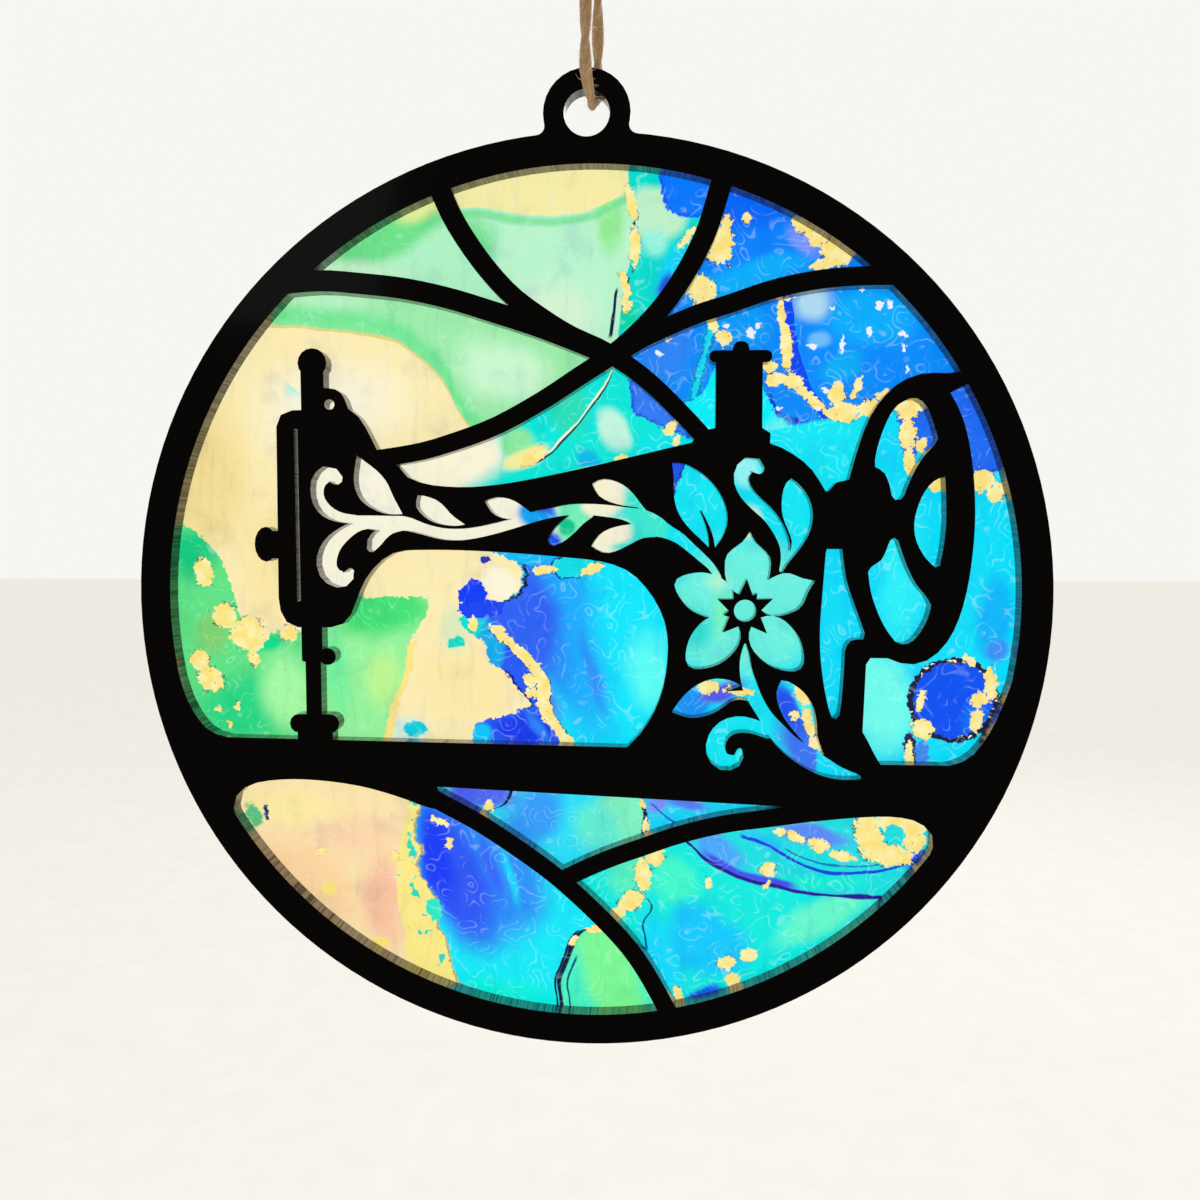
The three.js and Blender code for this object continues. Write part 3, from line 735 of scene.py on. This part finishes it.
creams = poured(creams, greens, green_left & (0.6 - z_torn))
under_arm = poured(under_arm, ink(0, 176, 228), (cream_left + 0.9) & (z_torn + 0.5) & (8 - z_torn))
under_arm = poured(under_arm, creams, cream_left)
under_arm = oval(torn, -25.4, 0.4, 3.9, 5.6, -14).rising(0.2, 0.26).colour(under_arm, ink(6, 62, 250))
under_arm = oval(torn, -22.6, -1.8, 6, 2.6, 4).rising(0.2, 0.26).colour(under_arm, ink(24, 70, 246))
under_arm = oval(torn, -22.4, 9, 1.4, 1.0, 20).rising(0.2, 0.3).colour(under_arm, ink(40, 60, 180))

# Over the arm: ivory, green and turquoise folds, then blue and cyan.
over_arm = washed(ink(0, 234, 220), [
    (ivory, -40, 32, 25, 12, 0, 0.3),
    (ink(140, 236, 160), -16, 34, 5, 5, -10, 0.5),
    (ink(246, 240, 156), -14, 31, 7, 2.8, 24, 0.5),
    (ink(40, 226, 190), -4, 42, 6, 8, 30, 0.6),
    (ink(196, 248, 226), 6, 37.4, 3.4, 6, 30, 0.5),
    (ink(0, 190, 236), 1, 30.6, 4, 5, 40, 0.6),
    (ink(0, 236, 240), 18, 34, 9, 5, 0, 0.5),
])
blue_fold = x_torn - drawn_line(z_torn, [(34, 12), (38, 10.4), (42, 9.8), (46, 9.2), (50, 8.4)])
over_arm = poured(over_arm, ink(50, 124, 246), blue_fold & (z_torn + x_torn * 0.45 - 45), ink(20, 70, 220))

# Right of the crossing bars the sky is blue, with pale breaks and gold, over a cyan sea.
sky_right = washed(ink(0, 142, 255), [
    (ink(0, 176, 255), 60, 60, 14, 9, 0, 0.6),
    (ink(44, 136, 248), 17, 54, 8, 8, 0, 0.6),
    (ink(0, 160, 255), 34, 60, 8, 5, 0, 0.6),
    (ink(176, 220, 240), 48, 63.4, 5, 5, -20, 0.7),
    (ink(110, 190, 250), 48.6, 55.6, 3, 2.4, 0, 0.6),
    (ink(0, 176, 250), 54, 50, 6, 4, 10, 0.6),
])
gulf = x_easy - drawn_line(z_easy, [(36, 55), (42, 50.5), (46, 47.6), (52, 45.2), (58, 44)])
sky_right = poured(sky_right, ink(0, 74, 246), between(gulf, -2.4, 0.6, 0.4) * 2 - 1)
bow = x_torn - drawn_line(z_torn, [(36, 21), (44, 23.6), (48, 24.6), (54, 26.2), (60, 27.6)])
inside_bow = (bow + 1.9) & (0.6 - bow) & (z_easy - 43)
sky_right = poured(sky_right, ink(0, 222, 240), inside_bow, ink(20, 60, 200), 0.6)
cyan_below = drawn_line(x_torn, [
    (20, 42), (23, 43.6), (25.4, 45.6), (27.4, 50), (30, 52), (36, 50), (37.8, 46), (39.6, 42.6),
    (41, 39.6),
    (44, 38), (47, 37), (51, 36.6), (54, 38.2), (60, 39.6), (66, 41),
]) - z_torn
sky_right = poured(sky_right, ink(0, 244, 255), cyan_below)
shore_line = between(cyan_below, -1.6, -0.1, 0.4) * between(x_easy, 39, 55)
sky_right = shore_line.colour(sky_right, ink(16, 50, 214))
pale_sea = oval(loose, 42, 36, 5, 7).rising(0, 0.7)
sky_right = pale_sea.colour(sky_right, ink(110, 250, 246))

# Round the wheel the sea is cyan, with a dark pool in a broken ring.
wheel_side = washed(ink(0, 226, 255), [
    (ink(110, 255, 240), 64, -20, 9, 16, 0, 0.6),
    (ink(40, 244, 255), 68, 6, 7, 24, 0, 0.7),
    (ink(0, 186, 252), 88, -4, 5, 12, 0, 0.6),
    (ink(60, 150, 250), 89, -11, 4, 3.4, 0, 0.6),
])
blue_above = z_torn - drawn_line(x_torn, [
    (60, 48), (65, 46), (66.4, 40), (66.8, 34), (69, 31), (72, 32.6), (76, 27), (79, 26.4),
    (84, 28), (89, 27.6), (96, 27),
])
wheel_side = poured(wheel_side, ink(30, 110, 246), blue_above, ink(20, 70, 220))
pool = oval(torn, 79.4, -21.2, 12.4, 11.8)
wheel_side = pool.rising(0.2, 0.22).colour(wheel_side, ink(30, 30, 66))
dots = easy.noise(1.15, 0.0).rising(0.66, 0.69) * between(pool, 0.22, 0.3, 0.02)
wheel_side = dots.colour(wheel_side, ink(250, 238, 196))
pooled = washed(ink(0, 84, 246), [(ink(0, 120, 255), 84, -24, 5, 6, 0, 0.7)])
wheel_side = pool.rising(0.3, 0.32).colour(wheel_side, pooled)
wheel_side = (oval(torn, 70.4, -32, 1.8, 5, 8).rising(0.2, 0.3)).colour(wheel_side, ink(40, 40, 90))
wheel_side = (oval(torn, 73, -33, 2.2, 4, 0).rising(0.2, 0.4)).colour(wheel_side, ink(60, 140, 240))

# Through the vine the picture runs from ivory to blue, mint, ivory again and turquoise.
vine = washed(ink(0, 236, 246), [
    (ink(255, 250, 226), -48, 16, 66, 34, 0, 0.12),
    (ink(60, 236, 214), 12, 15, 9, 14, 0, 0.5),
    (ink(254, 248, 214), 4, 22, 6, 5, 0, 0.5),
    (ink(254, 248, 214), 6, 15, 5, 3, 20, 0.5),
    (ink(120, 246, 190), -3, 18, 6, 9, 0, 0.5),
    (ink(254, 248, 214), 2, 20.4, 4, 2.4, 0, 0.5),
    (ink(0, 206, 150), -5, 16.6, 2.6, 2.2, 30, 0.5),
    (ink(0, 166, 250), -11, 18, 4.6, 4, 0, 0.4),
    (ink(44, 96, 236), -10, 19.6, 3, 2.0, 0, 0.6),
    (ink(20, 90, 240), -7.6, 13.2, 2.4, 2.4, 30, 0.6),
])
pillar = washed(ink(10, 236, 250), [
    (ink(108, 246, 228), 34, -2, 22, 18, 0, 0.4),
    (ink(120, 250, 196), 30, -3, 4, 8, 0, 0.9),
    (ink(40, 222, 214), 24, -6, 8, 7, 0, 0.9),
    (ink(170, 250, 214), 28.6, 4.6, 5, 4, 0, 0.9),
    (ink(20, 150, 250), 23, -22, 7, 6, 0, 0.6),
    (ink(84, 96, 240), 30, -19.4, 7, 3, 10, 0.6),
    (ink(60, 120, 246), 48, -32, 10, 6, -40, 0.6),
    (ink(30, 84, 244), 44, -24, 3, 8, 24, 0.6),
    (ink(80, 246, 240), 48, -22, 3, 7, 20, 0.5),
    (ink(252, 246, 206), 34.5, 16.6, 3.6, 5, 0, 0.6),
    (ink(150, 250, 250), 34, 28, 5, 5, 0, 0.6),
])
leaf_edge = drawn_line(z_torn, [(14, 18.6), (20, 18.8), (24, 19.4), (28, 20.8), (32, 21.8), (36, 22)])
leaf_tip = leaf_edge - x_torn
pillar = poured(pillar, ink(30, 90, 240), leaf_tip & (z_torn - 23), dark)

over_bar = drawn_line(x_easy, [
    (-50, 30.6), (-38, 32.3), (-30, 34.4), (-20, 38), (-10, 43.3), (-2, 48.4), (5.5, 53.2),
])
down_bar = drawn_line(x_easy, [
    (3, 54.4), (8, 51.4), (12, 48.5), (16, 45), (20, 41), (24, 36.8), (30, 30),
])
arm_top = drawn_line(x_easy, [
    (-60, 44), (-48, 36), (-41, 28), (-36, 25.4), (-25, 24.6), (-10, 26.6), (0, 28.8), (10, 31),
    (19, 33), (40, 37),
])
arm_foot = drawn_line(x_easy, [
    (-70, -6.5), (-57, -6), (-52, -3), (-48, 6), (-43, 10.6), (-30, 11.6), (-10, 10.8), (5, 8.6),
    (14, 2), (17.6, -11),
    (18, -36),
])
rim_top = drawn_line(x_easy, [(50, 22), (56, 27), (60, 38), (63, 43), (69, 47.5), (77, 49), (92, 50)])

# Each of these pictures shows through its own windows, and they meet behind the black bars.
for picture, inside in (
    (over_arm, (over_bar - z_easy) & (down_bar - z_easy) & (z_easy - arm_top)),
    (sky_right, (z_easy - down_bar) & (x_easy - 4)),
    (vine, (arm_top - z_easy) & (z_easy - arm_foot) & (x_easy + 65) * 0.18),
    (under_arm, (arm_foot - z_easy) & (x_easy + 60.5) * 0.2 & (18 - x_easy)),
    (pillar, (x_easy - 17.5) & (arm_top - z_easy)),
    (wheel_side, (x_easy - 50.3) & (rim_top - z_easy)),
):
    middle = inside.rising(-0.5, 0.5).colour(middle, picture)

# Below the base: peach and pink, then blue running into cyan, and green past a thin dark line.
low_left = washed(ink(0, 236, 250), [
    (ink(40, 150, 252), -24, -60, 17, 24, 28, 0.5),
    (ink(44, 88, 248), -30, -62, 10, 24, 24, 0.6),
    (ink(16, 60, 250), -34, -58, 5, 16, 16, 0.7),
    (ink(50, 104, 250), -22, -60, 1.8, 11, 14, 0.9),
    (ink(0, 220, 255), -18, -62, 1.6, 10, 14, 0.9),
    (ink(0, 246, 226), -20, -90, 20, 6, 0, 0.7),
])
islands = easy.noise(0.34, 2.0).rising(0.60, 0.62)
gold_edge = drawn_line(z_torn, [
    (-94, -27), (-87, -28.6), (-84, -30), (-80, -31), (-76, -32), (-74, -33.6), (-70, -33),
    (-67, -34), (-64, -36),
    (-60, -38), (-56, -37), (-53, -38.6), (-49, -38), (-44, -36),
]) - x_torn
low_left = poured(low_left, ink(254, 236, 134), gold_edge, dark, 0.4)
low_left = (islands * between(gold_edge, 1.0, 6.0)).colour(low_left, ink(40, 222, 196))
low_left = oval(torn, -34.6, -69.6, 2.4, 3.4, 10).rising(0.2, 0.3).colour(low_left, ink(40, 236, 200))
warm = drawn_line(z_torn, [
    (-94, -36), (-84, -38.6), (-80, -41), (-74, -41.4), (-68, -43), (-60, -42.6), (-54, -42),
    (-46, -40), (-40, -38),
]) - x_easy
warm_colours = washed(ink(254, 230, 172), [
    (ink(254, 214, 160), -62, -64, 20, 12, -45, 0.7),
    (ink(252, 196, 160), -46, -68, 6, 14, 8, 0.7),
    (ink(254, 214, 170), -52, -54, 14, 8, 0, 0.8),
    (ink(254, 236, 160), -66, -46, 14, 6, 0, 0.7),
    (ink(254, 232, 120), -57.4, -65.4, 2.4, 2, 0, 0.5),
    (ink(254, 232, 120), -47, -77, 2, 1.6, 0, 0.5),
])
low_left = poured(low_left, warm_colours, warm)
low_left = oval(torn, -75.4, -48.6, 2.6, 4.4, 28).rising(0.2, 0.5).colour(low_left, ink(90, 196, 130))
low_left = oval(torn, -72.6, -48, 0.7, 2.6, 6).rising(0.1, 0.3).colour(low_left, ink(26, 60, 110))
fresh = washed(ink(70, 246, 196), [(ink(124, 252, 150), 6, -84, 9, 16, 20, 0.5)])
green_right = x_easy - drawn_line(z_easy, [
    (-96, -5.4), (-90, -6), (-86, -6.4), (-82, -5), (-78, -3.4), (-74.4, -1.4), (-73, 3), (-70, 12),
])
low_left = poured(low_left, fresh, green_right)
under_base = washed(ink(40, 226, 250), [
    (ink(50, 160, 252), -13, -48, 8, 12, -30, 0.6),
    (ink(80, 104, 244), -24, -43, 9, 5, 0, 0.5),
    (ink(128, 246, 196), 9, -47, 9, 9, 0, 0.5),
    (ink(96, 240, 214), 2, -50, 8, 8, 0, 0.7),
])
blue_waves = x_easy - drawn_line(z_easy, [
    (-56, 13.4), (-51, 12.6), (-48, 13), (-45, 12.2), (-42, 11.4), (-38, 10.4),
])
bright = washed(ink(20, 214, 250), [
    (ink(90, 130, 246), 22, -45, 7, 2.2, -8, 0.6),
    (ink(120, 150, 250), 15, -45, 3, 3, 0, 0.6),
])
under_base = poured(under_base, bright, blue_waves)

# The last window: turquoise with folded blue waves above and gold in its upper corner.
low_right = washed(ink(0, 238, 226), [
    (ink(84, 246, 196), 9, -60, 7, 8, 0, 0.6),
    (ink(60, 250, 206), 20, -63, 8, 8, -40, 0.6),
    (ink(0, 204, 255), 26, -76, 13, 9, -20, 0.5),
    (ink(100, 252, 206), 52, -70, 16, 5, 30, 0.6),
    (ink(20, 96, 244), 25, -88, 6, 3, 16, 0.5),
    (ink(0, 222, 255), 16, -78, 4, 12, 30, 0.6),
])
wave = z_easy - drawn_line(x_easy, [
    (14, -48), (22, -53.4), (26, -57), (30, -59.2), (35, -61.6), (42, -63), (48, -64.4), (56, -65),
    (66, -65), (76, -64),
])
waves = washed(ink(20, 226, 228), [
    (ink(70, 170, 252), 30, -54, 9, 4, -32, 0.6),
    (ink(0, 240, 216), 52, -62, 14, 2.4, -2, 0.6),
    (ink(90, 140, 248), 50, -51, 12, 3.4, -14, 0.6),
    (ink(30, 206, 246), 40, -52.6, 8, 2.2, -24, 0.7),
    (ink(40, 80, 240), 73, -56, 5, 4, 40, 0.6),
])
low_right = poured(low_right, waves, wave)
crest = between(wave, 0.2, 1.9, 0.5) * between(x_easy, 26, 46, 2.0)
low_right = crest.colour(low_right, ink(66, 84, 240))
low_bar = drawn_line(x_easy, [
    (-50, -38), (-39, -42), (-31.3, -46), (-23.2, -50.4), (-11.3, -58.4), (-3.6, -64.6), (6, -73.9),
    (12, -81.4), (20, -96),
])
fork_bar = drawn_line(x_easy, [
    (-10, -64.4), (0, -59.6), (6, -57), (12, -54.8), (20, -51.9), (30, -49.3), (40, -47.8),
    (52, -46),
])
low = (z_easy - low_bar).rising(-0.5, 0.5).colour(low_left, low_right)
low = ((z_easy - low_bar) & (z_easy - fork_bar)).rising(-0.5, 0.5).colour(low, under_base)

# Washes have darker and lighter clouds in them and long fine streaks. The gold lies in flakes and seams
# with ragged edges, and fine curls stand in the surface all over.
clouds = easy.noise(0.11, 4.0, 0.6).rising(0.5, 0.3) * 0.8
tilted = {"rotation": (0, 0, math.radians(-18)), "scale": (0.5, 0.045, 1.0)}
long_noise = {"Vector": loose, "Scale": 1.0, "Detail": 4.0, "Roughness": 0.6}
streaks = loose.node("ShaderNodeTexNoise", {"laid": tilted}, long_noise).rising(0.5, 0.75) * 0.35
spatter = easy.noise(1.0, 3.0, 0.6) * 0.8 - 0.4
rimmed = easy.noise(0.5, 2.0).rising(0.5, 0.56) * 0.85
leafing = easy.noise(0.35, 2.0).rising(0.35, 0.7).colour(ink(254, 228, 124), ink(255, 244, 176))
leafing = easy.noise(1.9, 0.0).rising(0.79, 0.81).colour(leafing, ink(160, 100, 40))
contours = easy.noise(0.17, 1.0) * 8
curled = easy.noise(0.22, 2.0).rising(0.42, 0.62)
curls = abs(contours.maths("FRACT", contours) - 0.5).rising(0.13, 0.05) * curled
grit = at.noise(1.1, 2.0, 0.7)
roughness = 0.2 + grit * 0.25
relief = start.node("ShaderNodeBump", {}, {"Height": grit, "Strength": 0.25, "Distance": 0.1 * MM})


def clouded(picture):
    """A picture with clouds and streaks laid over its washes."""
    picture = shaded(picture, clouds, (0.84, 0.86, 0.95))
    return shaded(picture, streaks, (0.6, 0.72, 0.94))


def gilded(picture, flakes, more=None, less=None):
    """Gold leaf in flakes, with broken dark rims, more of it in some places and less in others."""
    leaf = oval(torn, *flakes[0])
    for flake in flakes[1:]:
        leaf = leaf | oval(torn, *flake)
    if more:
        leaf = leaf | more
    leaf = leaf + spatter
    if less:
        leaf = leaf - less
    picture = (between(leaf, 0.2, 0.27, 0.03) * rimmed).colour(picture, ink(24, 24, 80))
    return leaf.rising(0.26, 0.3).colour(picture, leafing)


def painted_glow_shader(picture, shader=None):
    """A shader of printed acrylic with the picture in it, its glow painted: the picture is given off as
    emission in place of light coming through.
    """
    glow = shader or start.tree.nodes.new("ShaderNodeBsdfPrincipled")
    picture = (curls * 0.17).colour(picture, ink(226, 252, 255))
    feed(shaded(picture, 1.0, (0.2, 0.2, 0.2)), glow, "Base Color")
    # Painted glow: the picture is given off as emission, so the panel shines as if backlit.
    feed(picture, glow, "Emission Color")
    feed(roughness, glow, "Roughness")
    feed(relief, glow, "Normal")
    glow.inputs["Emission Strength"].default_value = 0.9
    glow.inputs["IOR"].default_value = 1.49
    glow.inputs["Specular IOR Level"].default_value = 0.3
    glow.inputs["Coat Weight"].default_value = 0.2
    glow.inputs["Coat Roughness"].default_value = 0.08
    return Wire(start.tree, glow.outputs[0])


top = clouded(top)
top = ink_line(top, beyond_stripe + 1.5, between(z_easy, 57, 67), 0.42, dark)
top = ink_line(top, beyond_stripe - 0.6, between(z_easy, 66, 86) * broken.rising(0.5, 0.56), 0.36, dark)
top = gilded(top, [
    (9.6, 85, 1.4, 5, 10), (10.2, 76, 1.6, 6, 0), (8.2, 68, 1.3, 4, 14), (8.4, 64, 1.5, 3, 0),
    (21.4, 77.6, 1.2, 4, -40), (28, 76.4, 4.2, 6.4, 10), (29.6, 80, 1.6, 3, -20),
    (24.6, 66.6, 4.2, 4, 20), (23, 69, 2, 1.4, 30), (48, 78.4, 2.6, 5, 34), (53, 74, 4.6, 3.6, -30),
    (50, 71.6, 3.4, 1.6, 16), (45.4, 80, 2.6, 2, -40), (34, 81.6, 1.4, 1.8, 10),
])
top_glow = painted_glow_shader(top)

middle = clouded(middle)
vein = z_easy - drawn_line(x_easy, [
    (-16, 27), (-13, 29.5), (-10, 30.8), (-6, 34), (-4, 36), (0, 41), (4, 46), (6, 51),
])
middle = ink_line(middle, hill, between(x_easy, -70, -26), 0.4, ink(226, 214, 130))
middle = ink_line(middle, cream_left + 0.8, between(z_easy, -0.6, 8), 0.42, dark)
middle = ink_line(middle, cream_left, between(z_easy, -24, -15), 0.45, ink(10, 30, 140))
middle = ink_line(middle, seam + 1.5, between(z_easy, -22, -5), 0.35, ink(10, 30, 140))
middle = ink_line(middle, seam - 1.4, between(z_easy, -31, -8) * broken.rising(0.46, 0.52), 0.35, dark)
middle = ink_line(middle, vein, between(x_easy, -11, 5.5), 0.4, ink(20, 60, 90))
middle = ink_line(middle, vein - 0.7, between(x_easy, -12, 5.5), 0.4, ink(250, 246, 200))
middle = gilded(middle, [
    (-85.6, 6, 3, 4.4, 10), (-81, -3.6, 3.8, 4, 30), (-76, -7.6, 5.4, 5, -20), (-74.6, -13, 1.6, 3, 10),
    (-66.6, -7.6, 2.6, 2.4, 0), (-87, -13.6, 3, 3.4, 20), (-84.6, -18, 4.2, 3.6, -20),
    (-78.6, -24, 1.0, 1.4, 0), (-83, -24.6, 1.4, 1.0, 0), (-80.4, -28.2, 0.9, 1.6, 0),
    (42.6, 66, 4.4, 2.2, 10), (41.6, 61, 1.1, 6, 4), (42.6, 54.6, 1.7, 7, 2), (39.2, 50.6, 2.2, 2, -40),
    (40.6, 47.6, 3.2, 1.8, 10), (44, 47.4, 3.2, 2.2, -10), (46.4, 45, 2.6, 1.6, -40),
    (49, 42.6, 2.6, 1.4, -30), (54.6, 40.6, 5.6, 2.6, 0), (53.4, 44.6, 2.4, 3.8, 0),
    (57.6, 45.6, 1.4, 3.4, -20), (60.4, 41.4, 4.4, 2.4, 10), (63.4, 44, 2.4, 1.6, 20),
    (27, 59.4, 1.4, 2.4, 30), (29.4, 56.4, 2.6, 1.9, -30), (17.6, 56.6, 1.2, 1.2, 0),
    (68.4, 42, 4, 4, 0),
    (68.6, 36, 2.4, 5, 4), (69, 30, 1.8, 3.8, 10), (71.4, 33.6, 1.4, 2.4, -30), (75, 25.4, 2.2, 2.4, 0),
    (84.4, 26, 3.8, 3.4, 0), (87.4, 23.4, 2.6, 2.8, -40), (82.6, -12.6, 2.4, 1.4, -30),
    (87.2, -17.6, 2, 5.4, 4), (84.8, -21, 2.6, 2.2, 0), (84.4, -25.6, 1.9, 3.8, -10),
    (73, -27.6, 3.4, 2.8, -20), (70.2, -33, 1.3, 3.6, 0), (72.4, -21.6, 1.2, 3.4, -10),
    (-11.6, 31.6, 4.4, 1.8, 26), (18, 37.4, 1.6, 2.6, -40), (19.4, 34.8, 1.0, 1.8, 0),
    (7.4, 30.8, 2.2, 1.2, 20), (-9.4, 6.8, 4, 1.3, 4), (1, 7, 3.8, 1.4, 24), (-25.2, -5, 1.4, 2.4, 10),
    (-12.6, -17.6, 1.6, 2.4, 20), (-12.4, -20.4, 1.9, 1.5, 0), (26.6, -18.8, 3.4, 2.0, 0),
    (33, -19.6, 4.4, 1.4, -10), (47, -20, 2, 4, 24), (48.4, -26.4, 1.6, 4.4, 20),
    (45.4, -25, 1.5, 1.5, 0), (50, -31, 2.6, 1.6, -30), (16.8, 10, 1.4, 1.4, 0),
], more=between(z_easy, -31.6, -5.4, 0.3) * (1 - abs(seam) / 2.1))
specks = [
    (62, 63, 1.2, 1), (64.4, 63.2, 1, 1.2), (54.4, 55, 0.8, 2.6), (60, 57.4, 0.7, 1.8),
    (67, 57, 1.4, 1.2),
    (67.4, 54, 0.8, 1.2), (35, 57.6, 1.4, 1.6), (36.6, 59, 0.8, 1.2), (30, 59, 1.2, 1),
    (15.6, 53.2, 1.2, 0.8),
    (48, 54.6, 1.8, 0.8), (52.4, 62.6, 0.8, 0.6), (58.6, 66.4, 0.7, 0.5), (68.4, 49.6, 0.6, 1.6),
    (51, 45.4, 1, 0.8),
    (49.6, 41.6, 0.9, 0.7), (41, 41.6, 0.9, 0.6), (-28, -0.6, 0.7, 0.5), (-21.6, -5.6, 0.6, 0.6),
]
bare = oval(torn, *specks[0])
for speck in specks[1:]:
    bare = bare | oval(torn, *speck)
middle = (bare + spatter).rising(0.25, 0.4).colour(middle, ink(240, 244, 250))
middle_glow = painted_glow_shader(middle, shader)

low = clouded(low)
arc = x_easy - drawn_line(z_easy, [
    (-50, -24), (-47, -22), (-46, -19.6), (-44, -17.6), (-42, -17), (-38, -16.6),
])
second_arc = z_easy - drawn_line(x_easy, [
    (10, -43), (14, -44.6), (17, -47.4), (20, -49), (26, -49.4), (40, -48),
])
second_wave = z_easy - drawn_line(x_easy, [
    (30, -50), (35, -52.2), (42, -55), (48, -58.4), (54, -59.8), (62, -59.6), (68, -58.2),
    (76, -55),
])
fold = x_easy - drawn_line(z_easy, [
    (-80, 13.6), (-76, 13), (-72, 12.4), (-68, 14.4), (-66.6, 13.4), (-60, 15),
])
low = ink_line(low, green_right, between(z_easy, -95, -73), 0.6, dark)
low = ink_line(low, green_right + 0.9, between(z_easy, -92, -74), 0.35, dark)
low = ink_line(low, green_right - 1.9, between(z_easy, -95, -80), 0.26, ink(0, 90, 130))
low = ink_line(low, arc, between(z_easy, -47.4, -40), 0.5, dark)
low = ink_line(low, blue_waves, between(z_easy, -53, -41), 0.6, dark)
low = ink_line(low, second_arc, between(x_easy, 14, 24), 0.3, ink(30, 90, 200))
low = ink_line(low, wave, between(x_easy, 21, 70), 0.5, ink(40, 20, 150))
low = ink_line(low, second_wave, between(x_easy, 34, 73), 0.45, ink(16, 70, 220))
low = ink_line(low, second_wave - 1.6, between(x_easy, 44, 70), 0.25, ink(0, 130, 190))
low = ink_line(low, fold, between(z_easy, -78, -66.6), 0.3, ink(0, 90, 140))
low = gilded(low, [
    (-33, -49.6, 3, 1.2, -20), (-31, -54.6, 1.2, 1.6, 0), (1.6, -73.6, 3, 1.2, 16),
    (-3, -76.2, 2, 0.9, 40), (-22, -45.8, 1.8, 1.6, 0), (12.9, -49.6, 0.9, 2.6, 0),
    (12.2, -45, 0.7, 2, 10), (15, -57, 3, 2.6, 0), (12.4, -61, 2.4, 5, 4), (9.8, -67, 4, 3, 30),
    (7, -69.6, 2.4, 2, 30), (40, -59.4, 2.3, 2, 10), (39.8, -62.8, 1.1, 1.4, 0),
    (26.8, -62.8, 1.1, 2, 10), (31, -80.6, 3, 2.2, 10), (36, -78.8, 2.6, 2.2, 20),
    (32.4, -84.6, 2.2, 2.2, 0), (20.6, -88.4, 1.4, 3, 30), (42.6, -50.6, 2, 1.2, 0),
    (46, -52, 3, 1.4, -30), (51, -53.6, 3.4, 2, -20), (56, -56, 4.4, 1.3, -10), (62, -51.6, 4, 7.6, 20),
    (69, -48.6, 8, 3.8, -8), (66, -55.6, 8, 3.2, -6), (71.6, -52, 3.6, 4.4, 0), (34, -46.6, 5, 0.9, 4),
    (-43.4, -57.6, 1.4, 1.8, 0), (-60.4, -57, 1.6, 1.2, 0),
], less=oval(torn, 67.4, -51, 3, 2.6).rising(0.2, 0.3))
low_glow = painted_glow_shader(low)

top_bar = drawn_line(x_easy, [
    (-75, 68), (-57, 69.5), (-40, 67.7), (-30, 65.5), (-20, 62.4), (-10, 59.1), (0, 55.2),
    (7, 53.6), (12, 56.6),
    (18.3, 59.4), (30, 63.5), (40, 66.7), (50, 68.6), (75, 69),
])
over_top_bar = (z_easy - top_bar).rising(-1.2, 1.2)
whole = start.node("ShaderNodeMixShader", {}, {0: over_top_bar, 1: middle_glow, 2: top_glow})
base_bar = x_easy * -0.03 - 39.6 + uneven
under_bar = (base_bar - z_easy).rising(-1.4, 1.4)
whole = start.node("ShaderNodeMixShader", {}, {0: under_bar, 1: whole, 2: low_glow})
start.tree.links.new(whole.socket, start.tree.nodes["Material Output"].inputs["Surface"])
printed.cycles.emission_sampling = "NONE"
polish("panel", printed, 0.2 * MM)


# A pale floor lies some way under the hanging piece. It is left out of reflections, so the black
# face stays black.
floor_drop = 230 * MM
reach = 6.0
mesh = bpy.data.meshes.new("floor")
floor_z = cad_box[0][2] - floor_drop
corners = [(x * reach, y * reach, floor_z) for x, y in ((-1, -1), (1, -1), (1, 1), (-1, 1))]
mesh.from_pydata(corners, [], [(0, 1, 2, 3)])
paper, start, shader = new_finish("pale_floor")
grain = start.node("ShaderNodeTexCoord", out=3).noise(60.0, 3.0)
feed(grain.colour(ink(217, 214, 208), ink(225, 223, 217)), shader, "Base Color")
shader.inputs["Roughness"].default_value = 0.9
mesh.materials.append(paper)
floor = bpy.data.objects.new("floor", mesh)
floor.visible_glossy = False
bpy.context.collection.objects.link(floor)

# Soft daylight comes from behind and above, as at a window, and the room in front is dim.
world = bpy.data.worlds.new("daylight")
bpy.context.scene.world = world
world.use_nodes = True
air = Wire(world.node_tree)
background = world.node_tree.nodes["Background"]
way = air.node("ShaderNodeTexCoord", out=0)
behind = air.node("ShaderNodeSeparateXYZ", {}, {0: way}, out=1)
seen = air.node("ShaderNodeLightPath", out=0)
strength = behind.rising(-0.6, 0.2) * 0.85 + 0.12
air.tree.links.new((seen * 0.98 + (1 - seen) * strength).socket, background.inputs["Strength"])
background.inputs["Color"].default_value = ink(250, 248, 244)

for name, kind, place, size, power in (
    ("sky_light", "SUN", (0.25, 0.45, 0.9), math.radians(40), 1.9),
    ("window_light", "AREA", (0.35, 0.9, 0.5), 0.7, 2),
    ("room_light", "AREA", (-0.6, -0.9, 0.5), 0.8, 1),
):
    lamp = bpy.data.lights.new(name, kind)
    if kind == "SUN":
        lamp.angle = size
    else:
        lamp.size = size
    lamp.energy = power
    lamp_object = bpy.data.objects.new(name, lamp)
    lamp_object.location = place
    aim = Vector((0, 0, -disc_drop)) - Vector(place)
    lamp_object.rotation_euler = aim.to_track_quat("-Z", "Y").to_euler()
    bpy.context.collection.objects.link(lamp_object)
